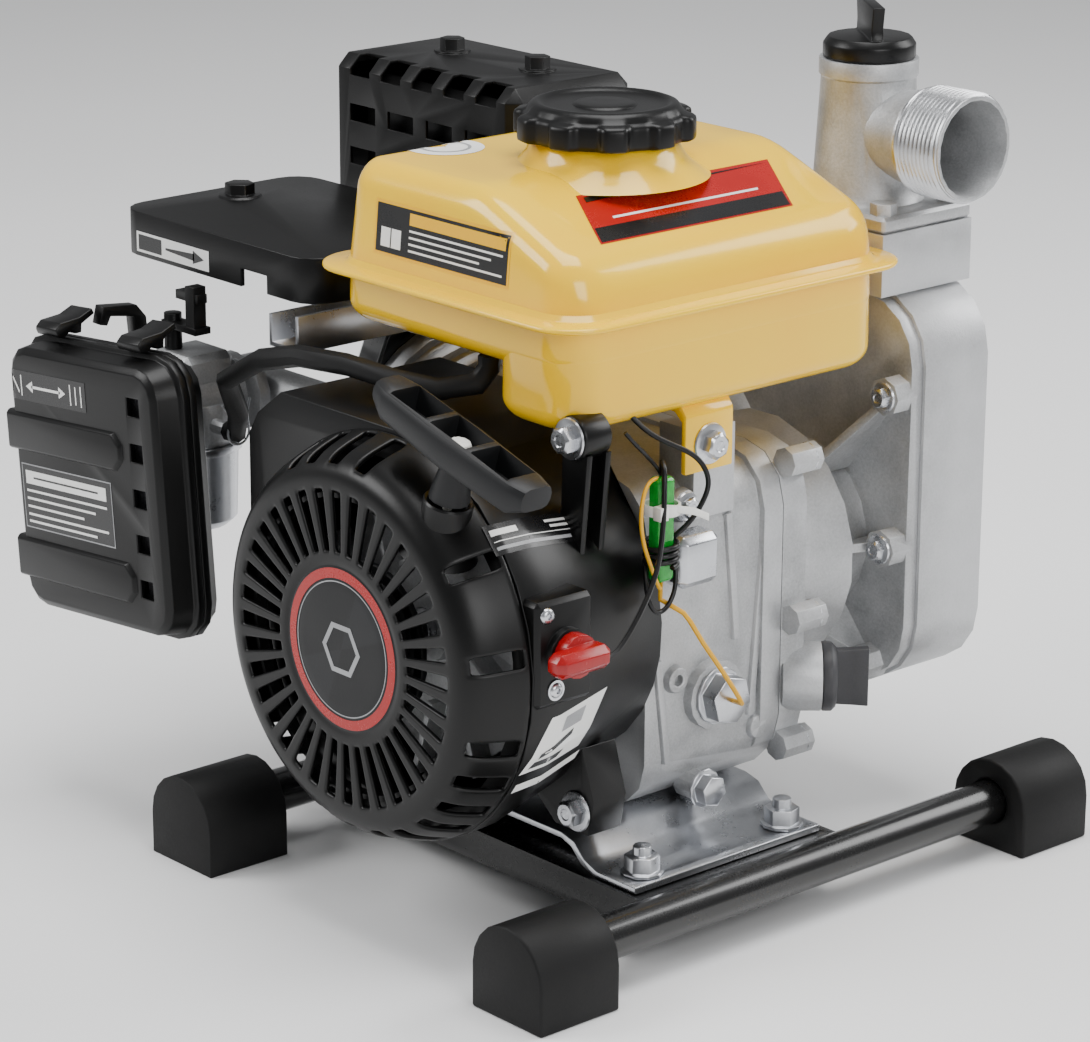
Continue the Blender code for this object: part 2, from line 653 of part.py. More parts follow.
def tank_dome(inset, bottom):
    """The upper half, as slices from left to right with rounded corners and edges."""
    corner, edge = TANK_CORNER, TANK_EDGE
    ends = [(corner * (1 - math.cos(a)), corner * (1 - math.sin(a)))
            for a in (0.0, math.pi / 6, math.pi / 3, math.pi / 2)]
    left = [(TANK_X[0] + inset + d, drawn) for d, drawn in ends]
    right = [(TANK_X[1] - inset - d, drawn) for d, drawn in reversed(ends)]
    middle = [(x, 0.0) for x, _ in TANK_TOP_LINE[1:-1]]
    sections = []
    for x, drawn in left + middle + right:
        near_end = min(x - TANK_X[0] - inset, TANK_X[1] - inset - x)
        lost = max(0.0, edge - near_end)
        top = tank_top_at(x) - inset - (edge - math.sqrt(edge * edge - lost * lost))
        low, high = TANK_Y[0] + inset + drawn, TANK_Y[1] - inset - drawn
        rear = arc((high - edge, top - edge), edge, 0, 90, 3)
        front = arc((low + edge, top - edge), edge, 90, 180, 3)
        sections.append([(x, y, z) for y, z in [(low, bottom), (high, bottom)] + rear + front])
    return loft(sections)


def at_height(plan, z):
    return [(x, y, z) for x, y in plan]


def tank_lower(floor, inset, top, low_x=None):
    return loft([at_height(tank_plan(inset + 7, low_x), floor + inset),
                 at_height(tank_plan(inset, low_x), floor + inset + 7),
                 at_height(tank_plan(inset, low_x), top)])


def fuel_tank():
    x, y = FILLER_AT
    tank = place("fuel_tank", tank_dome(0.0, SEAM_Z - 0.6), "yellow_paint")
    unite(tank, tank_lower(TANK_SHALLOW_Z, 0.2, SEAM_Z + 0.5),
          tank_lower(TANK_SUMP_Z, 0.5, SEAM_Z + 0.2, 14.0),
          prism(tank_plan(-SEAM_WIDTH), "z", SEAM_Z - 1.2, SEAM_Z + 1.2),
          *tank_brackets(),
          turned([(0, 0), (36, 0), (30, 7), (29, 12), (0, 12)], (x, y, TANK_TOP_Z - 3),
                 (0, 0, 1), 24))
    cut(tank, tank_dome(2.2, SEAM_Z - 3.0), tank_lower(TANK_SHALLOW_Z, 2.4, SEAM_Z),
        tank_lower(TANK_SUMP_Z, 2.7, SEAM_Z - 0.3, 14.0),
        rod((x, y, SEAM_Z + 20), (x, y, SEAM_Z + 70), 22, 20),
        rod((50, -5, 197), (70, -5, 197), 3.5, 8))

    lobes = []
    count = 60
    for i in range(count):
        angle = 2 * math.pi * i / count
        radius = 36.2 + 1.8 * math.tanh(3.0 * math.cos(10 * angle))
        lobes.append((x + radius * math.cos(angle), y + radius * math.sin(angle)))
    base = TANK_TOP_Z + 9 + GAP
    cap = place("fuel_cap", prism(lobes, "z", base, base + 10.5), "dark_plastic",
                origin=(x, y, base))
    unite(cap, turned([(0, 0), (33.5, 0), (29, 4.5), (0, 5)], (x, y, base + 10), (0, 0, 1), 30),
          rod((x, y, base - 9), (x, y, base + 2), 21.2, 20))


def tank_brackets():
    """The two sheet brackets welded under the tank, as shapes that run into its skin."""
    tab = CASE_X[1] + 0.8
    low = TANK_SUMP_Z + 1.0
    strap = [(tab, 186), (tab + 3, 186), (tab + 3, low - 4), (tab - 1, low), (32, low),
             (32, low - 3.5), (tab - 4, low - 3.5), (tab, low - 7)]
    high = TANK_SHALLOW_Z + 1.0
    side = [(-30, high), (-30, high - 3), (-57, high - 3), (-57, 222), (-60, 222),
            (-60, high)]
    return prism(strap, "y", -25, 2), prism(side, "y", -36, -14)


# ---------------------------------------------------------------- exhaust
def exhaust():
    port = along_cylinder(126) + Vector((0, PORT_REACH + GAP, 0))
    riser = port.x - 5
    low, high = (-226, 36, 238), (-110, 94, 302)
    muffler = place("muffler", block(low, high, 10, 1), "heat_black")
    unite(muffler, rod(port, (port.x, 66, port.z), 13, 16),
          rod((riser, 56, port.z - 2), (riser, 56, 246), 8.6, 10))
    cut(muffler, block((low[0] + 3, low[1] + 3, low[2] + 3),
                       (high[0] - 3, high[1] - 3, high[2] - 3), 9, 1),
        rod((riser, 56, port.z), (riser, 56, 250), 6, 8),
        rod(port - Vector((0, 5, 0)), (port.x, 62, port.z), 8, 10),
        rod((-230, 66, 262), (-215, 66, 262), 6, 12))

    wall = 1.6
    low, high = Vector((-233, 28, 230)), Vector((-105, 101, 312))
    guard = place("muffler_guard", block(low, high, 6, 1), "heat_black")
    inner = block(low + Vector((wall, wall, -20)), high - Vector((wall, wall, wall)), 5, 1)
    slots = []
    for i in range(5):
        x = low.x + 14 + i * 22
        slots.append(block((x, low.y - 6, high.z - 9), (x + 14, low.y + 11, high.z + 4)))
    for z in (282, 262):
        for i in range(4):
            x = low.x + 14 + i * 27
            slots.append(block((x, low.y - 4, z), (x + 18, low.y + 4, z + 8)))
    cut(guard, inner, together(*slots))
    seats = [(x, 70, high.z - 0.4) for x in (-196, -137)]
    unite(guard, together(*[flange_and_shank(seat, (0, 0, 1), 8.5) for seat in seats]),
          together(*[hexagon(seat, (0, 0, 1), 10, 7) for seat in seats]))


# ---------------------------------------------------------------- fuel and air
def air_box_centre():
    return Vector(((AIR_BOX_X[0] + AIR_BOX_X[1]) / 2, 0.0,
                   (AIR_BOX_Z[0] + AIR_BOX_Z[1]) / 2))


def in_air_box(shape):
    """Tip a shape of the air box by its small tilt about its middle."""
    return spun(shape, -AIR_BOX_TILT, air_box_centre())


def air_box_loft(steps):
    """A rounded box whose sections step from front to back: (y, inset) pairs."""
    sections = []
    for y, inset in steps:
        low = (AIR_BOX_X[0] + inset, AIR_BOX_Z[0] + inset)
        high = (AIR_BOX_X[1] - inset, AIR_BOX_Z[1] - inset)
        sections.append([(x, y, z) for x, z in rounded(low, high, max(5.0, 17 - inset), 3)])
    return loft(sections)


def air_box():
    face, seam, back = AIR_BOX_Y
    lid = place("air_box_lid",
                in_air_box(air_box_loft([(face, 7), (face + 2, 4), (seam - 4, 2.5),
                                         (seam - 3.5, 0), (seam, 0)])),
                "black_plastic")
    windows = [block((AIR_BOX_X[1] - 24, face - 2, AIR_BOX_Z[0] + 20 + i * 20),
                     (AIR_BOX_X[1] - 15, face + 5, AIR_BOX_Z[0] + 28 + i * 20))
               for i in range(5)]
    cut(lid, in_air_box(air_box_loft([(face + 2.4, 9), (seam - 2, 6), (seam + 2, 5)])),
        in_air_box(together(*windows)))

    base = place("air_box_base",
                 in_air_box(air_box_loft([(seam + GAP, 0), (seam + 4, 0), (seam + 4.5, 2.5),
                                          (back - 3, 5), (back, 10)])), "black_plastic")
    x, y, z = CARB_AT
    cut(base, in_air_box(air_box_loft([(seam - 2, 5), (back - 5, 8), (back - 2.4, 13)])),
        rod((x, back - 10, z), (x, back + 5, z), 12, 16))
    element = in_air_box(air_box_loft([(face + 6, 11), (seam + 5, 12)]))
    place("air_filter_element", element, "foam")

    top = AIR_BOX_Z[1]
    for name, x in (("left", AIR_BOX_X[0] + 26), ("right", AIR_BOX_X[1] - 30)):
        pivot = Vector((x, seam - 6, top + 3.0))
        arm = [(seam - 6, top + 0.5), (seam - 8, top + 1.3), (seam - 8.7, top + 3),
               (seam - 8.7, top + 4.5), (seam - 6, top + 7),
               (seam + 4, top + 8), (seam + 11, top + 11), (seam + 12, top + 8.5),
               (seam + 5, top + 5), (seam + 4.5, top + 1.2), (seam + 1, top + 1.2),
               (seam - 1, top + 3), (seam - 4, top + 0.6)]
        latch = in_air_box(prism(arm, "x", x - 8, x + 8))
        centre = air_box_centre()
        turn = Matrix.Rotation(-AIR_BOX_TILT, 3, "Y")
        place("air_box_latch_" + name, latch, "black_plastic",
              origin=centre + turn @ (pivot - centre))


def carburettor():
    x, y, z = CARB_AT
    back = AIR_BOX_Y[2] + GAP
    body = place("carburettor", rod((x, back, z), (x, -64, z), 17, 20), "cast_aluminium")
    bowl_top = 159.0
    flange = prism(rounded((x - 26, z - 15), (x + 26, z + 16), 12, 2), "y", -70, -64.3)
    mouth = prism(rounded((x - 24, z - 18), (x + 24, z + 18), 12, 2), "y", back + 0.3,
                  back + 6)
    unite(body, flange, mouth, rod((x, y, bowl_top), (x, y, z), 19, 18),
          block((x - 14, y - 14, z + 4), (x + 14, y + 13, z + 22), 3, 1),
          rod((x + 10, y - 2, z - 9), (x + 27, y - 2, z - 9), 3.4, 10))
    cut(body, rod((x, -130, z), (x, -50, z), 10, 16))
    bowl = place("float_bowl",
                 turned([(0, 0), (5, 0), (5, 3), (14, 4), (18.5, 8), (19.5, 39), (21, 39),
                         (21, 42.7), (17, 42.7), (17, 14), (14, 9), (0, 8)],
                        (x, y, bowl_top - 43), (0, 0, 1), 20), "zinc_steel")

    port = along_cylinder(126) - Vector((0, PORT_REACH + GAP, 0))
    start, run_y = Vector((x, -64 + GAP, z)), -52.5
    elbow = place("intake_elbow", rod(start, (x, -46, z), 14, 16), "cast_aluminium")
    near, far = Vector((x - 2, run_y, z)), Vector((port.x + 2, run_y, port.z))
    unite(elbow, rod(near, far, 10, 12), rod((port.x, -59, port.z), port, 14, 14))
    cut(elbow, rod(start - Vector((0, 3, 0)), (x, -52, z), 8, 8),
        rod((x, run_y, z), (port.x, run_y, port.z), 7, 8),
        rod((port.x, -53, port.z), port + Vector((0, 4, 0)), 8, 8))

    pivot = Vector((x - 6, y - 6, z + 22 + GAP))
    lever = place("throttle_lever", rod(pivot, pivot + Vector((0, 0, 16)), 4, 12),
                  "black_plastic", origin=pivot)
    unite(lever, block(pivot + Vector((-3, -4.2, 10)), pivot + Vector((22, 4.2, 13))),
          block(pivot + Vector((14, -3.4, 12)), pivot + Vector((20, 3.4, 31))),
          block(pivot + Vector((6, -2.6, 24)), pivot + Vector((22, 2.6, 28))))

    hinge = Vector((x - 19.6, y - 10, z + 4))
    choke = place("choke_lever", rod(hinge, hinge + Vector((-5, 0, 0)), 6, 16),
                  "black_plastic", origin=hinge)
    arm = [(hinge.y - 3, hinge.z), (hinge.y + 4, hinge.z), (hinge.y + 1, hinge.z + 30),
           (hinge.y - 4, hinge.z + 36), (hinge.y - 22, hinge.z + 38),
           (hinge.y - 24, hinge.z + 30), (hinge.y - 20, hinge.z + 29),
           (hinge.y - 18, hinge.z + 33), (hinge.y - 6, hinge.z + 31)]
    unite(choke, prism(arm, "x", hinge.x - 8, hinge.x - 2))


def controls():
    """Governor bracket, the shield over the carburettor, and the fuel hose."""
    x, y, z = -118.0, -98.0, 217.5
    wall = 2.0
    section = [(x, z), (x + 20, z), (x + 20, z + 16), (x + 18, z + 16), (x + 18, z + wall),
               (x + wall, z + wall), (x + wall, z + 14), (x, z + 14)]
    bracket = place("governor_bracket", prism(section, "y", y, y + 60), "zinc_steel")
    unite(bracket, block((-128, -46, z + 0.02), (x + 10, -38.02, z + 2.4)))

    low, high = (-238, -90), (-99, 14)
    top = 256.0
    outline = rounded(low, high, 14, 4)
    cover = place("control_cover", prism(outline, "z", top - 20, top), "black_plastic")
    inner = rounded((low[0] + 2.4, low[1] + 2.4), (high[0] - 2.4, high[1] - 2.4), 12, 4)
    notch = block((-148, -96, top - 30), (-130, -80, top - 12))
    seat = (-219, -36, top - 0.4)
    cut(cover, prism(inner, "z", top - 30, top - 2.4), notch)
    unite(cover, flange_and_shank(seat, (0, 0, 1), 10), hexagon(seat, (0, 0, 1), 12, 6.5))

    cx, cy, cz = CARB_AT
    start = (cx + 28.6, cy - 2, cz - 9)
    cord("fuel_hose", [start, (cx + 34, cy - 2.5, cz - 8.4), (cx + 43, cy - 8, cz + 3),
                       (-134, -109, 201), (-106, -112, 216), (-80, -112, 223),
                       (-50, -110, 225), (-24, -106, 223), (-8, -97, 221), (1, -84, 223),
                       (2.4, -79, 229), (2.5, -78.6, 234)],
         4.8, "rubber")


# ---------------------------------------------------------------- electrics
def electrics():
    """Stop switch, ignition module and the captive wiring on the crankcase side."""
    face = 87.6
    centre = Vector((face, -113.0, 138.0))
    plate = place("switch_plate", block((70, -127.7, 116), (face, -98, 160), 2, 1),
                  "black_plastic")
    unite(plate, rod(centre - Vector((3, 0, 0)), centre + Vector((3, 0, 0)), 10, 20))
    cut(plate, blower_shape(-GAP, RECOIL_SEAT_Y - 4, -42))
    knob = place("switch_knob", rod(centre + Vector((3 + GAP, 0, 0)),
                                    centre + Vector((9, 0, 0)), 9, 16), "red_plastic",
                 origin=centre)
    unite(knob, block(centre + Vector((6, -17, -5)), centre + Vector((17, 11, 5)), 3, 1))

    place("ignition_module", block((61.5, -39, 143), (76, -17, 165), 3, 1), "zinc_steel")
    place("wire_connector", block((68, -52, 149), (76, -43, 193), 1.5, 1), "green_plastic")


def case_fittings():
    away = Vector((GAP, 0, 0))
    seat = SENSOR_SEAT + away
    unite(place("oil_level_sensor", flange_and_shank(seat, (1, 0, 0), 12.5, 12, 5.8),
                "zinc_steel"), hexagon(seat, (1, 0, 0), 19, 9))
    cord("sensor_wire", [seat + Vector((9.4, 0, 0)), (80, -8, 89), (83, -20, 104),
                         (82, -33, 122), (80, -42, 136), (72, -47.5, 141),
                         (72, -47.5, 148.6)], 1.1, "yellow_wire")
    cord("switch_wire", [(90, -97.2, 131), (92, -89, 134), (89, -74, 146), (84, -61, 159),
                         (80, -54, 176), (76, -50, 197), (72, -47.5, 199),
                         (72, -47.5, 193.4)], 1.1, "rubber")
    seat = DRAIN_SEAT + away
    unite(place("oil_drain_bolt", flange_and_shank(seat, (1, 0, 0), 8.5, 12, 4.3),
                "zinc_steel"), hexagon(seat, (1, 0, 0), 12, 7))
    seat = FILLER_SEAT + FILLER_WAY * GAP
    stick = place("oil_dipstick", turned([(0, -20), (9, -20), (9, 0), (15, 0), (15, 4), (13, 6),
                                          (0, 7)], seat, FILLER_WAY, 14), "grey_plastic",
                  origin=seat)
    side = FILLER_WAY.cross(Vector((0, 0, 1))).normalized()
    wing = []
    for rise, half in ((5, 12), (14, 12.5), (20, 13)):
        middle = seat + FILLER_WAY * rise
        wing.append([middle + Vector((0, 0, a)) + side * b
                     for a, b in ((-half, -2.4), (half, -2.4), (half, 2.4), (-half, 2.4))])
    unite(stick, loft(wing))


# ---------------------------------------------------------------- pump
PUMP_BOLTS = ((56, 196), (56, 128), (44, 72), (-56, 196), (-56, 128), (-44, 72))


def pump_outline(shrink=0.0):
    return rounded((-PUMP_X + shrink, PUMP_Z[0] + shrink), (PUMP_X - shrink, PUMP_Z[1] - shrink),
                   30 - shrink, 4)


def pump_adapter():
    plate = (PUMP_Y[0] - 7, PUMP_Y[0] - GAP)
    near = COVER_Y[1] + 4 + GAP
    adapter = place("pump_adapter", prism(pump_outline(1.5), "y", *plate), "cast_aluminium")
    bell = turned([(0, near), (49, near), (52, near + 16), (56, near + 30),
                   (44, near + 35), (40, plate[0] + 1), (0, plate[0] + 1)],
                  (0, 0, CRANK_Z), (0, 1, 0), 20)
    ribs = []
    for x, z in PUMP_BOLTS:
        way = Vector((x, 0, z - CRANK_Z))
        reach = way.length
        way.normalize()
        across = way.cross(Vector((0, 1, 0)))
        middle = Vector((0, 0, CRANK_Z))
        root, tip = middle + way * 42, middle + way * (reach - 4)
        sections = []
        for point, depth in ((root, near + 26), (tip, plate[0] - 6)):
            sections.append([point + across * a + Vector((0, b, 0)) for a, b in
                             ((-2, depth), (2, depth), (2, plate[0] + 2), (-2, plate[0] + 2))])
        ribs.append(loft(sections))
    bosses = [rod((x, plate[0] - 9, z), (x, plate[0] + 3, z), 8.5, 8) for x, z in PUMP_BOLTS]
    unite(adapter, bell, *ribs, together(*bosses))
    cut(adapter, turned([(0, near - 5), (42, near - 5), (44, near + 22), (14, near + 30),
                         (14, PUMP_Y[0] + 5), (0, PUMP_Y[0] + 5)],
                        (0, 0, CRANK_Z), (0, 1, 0), 16))


def pump_casing():
    body = loft([[(x, y, z) for x, z in pump_outline(s)]
                 for y, s in ((PUMP_Y[0], 0), (PUMP_Y[1] - 4, 0), (PUMP_Y[1], 4))])
    casing = place("pump_casing", body, "cast_aluminium")
    nx, ny = NECK_AT
    deck = PUMP_Z[1] + 26
    unite(casing, block((nx - 38, ny - 28, PUMP_Z[1] - 1), (nx + 38, ny + 27, deck)))
    cut(casing, rod((0, PUMP_Y[0] - 2, CRANK_Z), (0, PUMP_Y[1] - 16, CRANK_Z),
                    IMPELLER_R + 4, 28),
        block((nx - 24, PUMP_Y[0] + 4, CRANK_Z + 30), (nx + 20, PUMP_Y[1] - 8, PUMP_Z[1] - 6)),
        rod((nx, ny, PUMP_Z[1] - 20), (nx, ny, deck + 3), 16, 20),
        rod((0, PUMP_Y[1] - 20, INLET_Z), (0, PUMP_Y[1] + 5, INLET_Z), PORT_R, 20))
    wheel = place("impeller",
                  turned([(9.3, PUMP_Y[0] + 1.5), (IMPELLER_R, PUMP_Y[0] + 1.5),
                          (IMPELLER_R, PUMP_Y[0] + 5), (18, PUMP_Y[0] + 6),
                          (16, PUMP_Y[0] + 20), (9.3, PUMP_Y[0] + 20)],
                         (0, 0, CRANK_Z), (0, 1, 0), 24), "cast_aluminium",
                  origin=(0, 0, CRANK_Z))
    vanes = []
    for i in range(4):
        low, high = PUMP_Y[0] + 3, PUMP_Y[0] + 16
        outline = arc((0, 29), 16, 200, 60, 4) + arc((0, 29), 13.4, 60, 200, 4)
        vane = prism(outline, "y", low, high)
        spun(vane, i * math.pi / 2, (0, 0, 0))
        bmesh.ops.translate(vane, verts=vane.verts, vec=(0, 0, CRANK_Z))
        vanes.append(vane)
    unite(wheel, together(*vanes))


def discharge():
    nx, ny = NECK_AT
    deck = PUMP_Z[1] + 26 + GAP
    neck_top = 332.0
    outlet = place("discharge_outlet",
                   block((nx - 38, ny - 28, deck), (nx + 38, ny + 27, deck + 7), 1.5, 1),
                   "cast_aluminium")
    tall = neck_top - deck
    unite(outlet, turned([(0, 5), (27, 5), (23, 12), (20.5, tall - 8), (21.5, tall - 7),
                          (21.5, tall), (0, tall)], (nx, ny, deck), (0, 0, 1), 24),
          turned([(0, 4), (15, 8), (20, 26), (21.5, 34), (THREAD_R, 35), (THREAD_R, 62),
                  (0, 62)], (nx, ny + 0.1, OUTLET_Z), (1, 0, 0), 22))
    cut(outlet, rod((nx, ny - 0.05, deck - 5), (nx, ny - 0.05, neck_top + 5), 15.2, 18),
        rod((nx, ny, OUTLET_Z), (nx + 70, ny + 0.1, OUTLET_Z), 13, 20, PORT_R + 2))
    heads = [rod((nx + dx, ny + dy, deck + 5), (nx + dx, ny + dy, deck + 12), 5.8, 6)
             for dx, dy in ((-31, -21), (31, -21), (-31, 20), (31, 20))]
    unite(outlet, together(*heads))

    cap_seat = neck_top + GAP
    cap = place("priming_cap",
                turned([(0, -14), (14.3, -14), (14.3, 0), (20, 0), (20, 6), (18, 9), (0, 9.6)],
                       (nx, ny, cap_seat), (0, 0, 1), 18), "black_plastic",
                origin=(nx, ny, cap_seat))
    wing = []
    for rise, half in ((7, 17), (14, 16), (23.7, 19)):
        wing.append([(nx + a, ny + b, cap_seat + rise)
                     for a, b in ((-half, -2.6), (half, -2.6), (half, 2.6), (-half, 2.6))])
    grip = loft(wing)
    spun(grip, math.radians(-35), (nx, ny, 0), "Z")
    unite(cap, grip)

    back = PUMP_Y[1] + GAP
    inlet = place("inlet_flange",
                  prism(rounded((-34, INLET_Z - 30), (34, INLET_Z + 30), 14, 3), "y", back,
                        back + 8), "cast_aluminium")
    unite(inlet, turned([(0, 6), (21.5, 6), (21.5, 14), (THREAD_R, 15), (THREAD_R, 42),
                         (0, 42)], (0, back, INLET_Z), (0, 1, 0), 24))
    cut(inlet, rod((0, back - 5, INLET_Z), (0, back + 50, INLET_Z), PORT_R, 24))
    place("pump_drain_plug", rod((0, 134, PUMP_Z[0] - GAP), (0, 134, PUMP_Z[0] - 7), 8, 6),
          "brass")


# ---------------------------------------------------------------- assembly
def main():
    clear_scene()
    frame_empty()
    base_frame()
    engine_cradle()
    crankcase()
    crankcase_cover()
    cylinder_head()
    crank_train()
    blower_housing()
    recoil_starter()
    flywheel()
    fuel_tank()
    exhaust()
    air_box()
    carburettor()
    controls()
    electrics()
    case_fittings()
    pump_adapter()
    pump_casing()
    discharge()


main()
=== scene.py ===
# Looks for a small petrol engine that drives a water pump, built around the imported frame.
import json
import math
import bmesh
import bpy
from mathutils import Matrix, Vector
from mathutils.bvhtree import BVHTree


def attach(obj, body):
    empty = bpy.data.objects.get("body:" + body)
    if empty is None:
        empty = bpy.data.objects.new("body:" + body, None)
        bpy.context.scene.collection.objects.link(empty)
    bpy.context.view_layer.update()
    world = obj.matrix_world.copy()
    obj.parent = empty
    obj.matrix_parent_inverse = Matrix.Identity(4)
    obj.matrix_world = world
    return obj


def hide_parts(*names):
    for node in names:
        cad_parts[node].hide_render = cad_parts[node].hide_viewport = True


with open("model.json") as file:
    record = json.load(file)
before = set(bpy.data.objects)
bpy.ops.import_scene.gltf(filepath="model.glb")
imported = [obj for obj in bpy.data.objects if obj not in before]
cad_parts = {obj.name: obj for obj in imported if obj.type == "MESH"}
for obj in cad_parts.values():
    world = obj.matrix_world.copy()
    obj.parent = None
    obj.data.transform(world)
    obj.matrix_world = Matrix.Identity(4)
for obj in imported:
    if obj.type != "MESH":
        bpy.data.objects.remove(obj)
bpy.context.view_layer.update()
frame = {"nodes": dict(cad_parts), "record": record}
nodes = frame["nodes"]
bodyOf = {node: body for body, members in frame["record"]["behaviour"]["bodies"].items()
          for node in members}
print("frame loaded:", len(nodes), "nodes")


# Places are given in millimetres from the crankshaft's centre line, at floor height.
crank = {"x": 58.52, "y": -19.45, "height": 125}
upward = Vector((0, 0, 1))


def at(x, y, z):
    return Vector((x + crank["x"], y + crank["y"], z)) / 1000


def along(x, y, z):
    return Vector((x, y, z)).normalized()


# ---- materials

def srgb(code):
    channels = [int(code[i:i + 2], 16) / 255 for i in (1, 3, 5)]
    return (*[c / 12.92 if c <= 0.04045 else ((c + 0.055) / 1.055) ** 2.4 for c in channels], 1.0)


def addNode(tree, kind, settings=None, links=None):
    node = tree.nodes.new(kind)
    for key, value in (settings or {}).items():
        if isinstance(key, str) and hasattr(node, key):
            setattr(node, key, value)
        else:
            node.inputs[key].default_value = value
    for key, source in (links or {}).items():
        tree.links.new(source, node.inputs[key])
    return node


def perMetre(millimetres):
    return 1000 / millimetres


def startMaterial(name):
    material = bpy.data.materials.new(name)
    material.use_nodes = True
    tree = material.node_tree
    tree.nodes.clear()
    shader = addNode(tree, "ShaderNodeBsdfPrincipled")
    addNode(tree, "ShaderNodeOutputMaterial", links={"Surface": shader.outputs["BSDF"]})
    place = addNode(tree, "ShaderNodeTexCoord").outputs["Object"]
    return material, tree, shader, place


# Every finish is a base colour that drifts a little over the piece, and a fine grain that
# moves its roughness and its height. All the sizes are millimetres on the real surface.
# Some finishes also mix a lighter colour onto their convex edges, which is a painted highlight.
def makeFinish(name, look):
    material, tree, shader, place = startMaterial(name)
    drift = addNode(tree, "ShaderNodeTexNoise", {"Scale": perMetre(look["driftMm"]), "Detail": 2.0},
                    {"Vector": place}).outputs["Fac"]
    grain = addNode(tree, "ShaderNodeTexNoise", {"Scale": perMetre(look["grainMm"]), "Detail": 4.0,
                                                 "Roughness": 0.62}, {"Vector": place}).outputs["Fac"]
    both = addNode(tree, "ShaderNodeMix", {"data_type": "FLOAT", "Factor": look.get("grainShare", 0.4)},
                   {"A": drift, "B": grain}).outputs["Result"]
    tone = addNode(tree, "ShaderNodeValToRGB", links={"Fac": both})
    tone.color_ramp.elements[0].position = 0.32
    tone.color_ramp.elements[0].color = srgb(look["dark"])
    tone.color_ramp.elements[1].position = 0.68
    tone.color_ramp.elements[1].color = srgb(look["light"])
    colour = tone.outputs["Color"]
    # painted highlight: a lighter colour mixed in where the surface is convex, on the edges
    if look.get("edge"):
        convex = addNode(tree, "ShaderNodeNewGeometry").outputs["Pointiness"]
        edge = addNode(tree, "ShaderNodeMapRange", {"From Min": 0.52, "From Max": 0.60,
                                                    "To Max": look["edgeHighlightShare"]}, {"Value": convex})
        colour = addNode(tree, "ShaderNodeMix", {"data_type": "RGBA", "B": srgb(look["edge"])},
                         {"Factor": edge.outputs["Result"], "A": colour}).outputs["Result"]
    low, high = look["rough"]
    rough = addNode(tree, "ShaderNodeMapRange", {"From Min": 0.3, "From Max": 0.7, "To Min": low,
                                                 "To Max": high}, {"Value": both}).outputs["Result"]
    bump = addNode(tree, "ShaderNodeBump", {"Distance": look["depthMm"] / 1000, "Strength": 1.0},
                   {"Height": grain})
    tree.links.new(colour, shader.inputs["Base Color"])
    tree.links.new(rough, shader.inputs["Roughness"])
    tree.links.new(bump.outputs["Normal"], shader.inputs["Normal"])
    shader.inputs["Metallic"].default_value = look.get("metallic", 0.0)
    for socket, value in look.get("sockets", {}).items():
        shader.inputs[socket].default_value = value
    return material


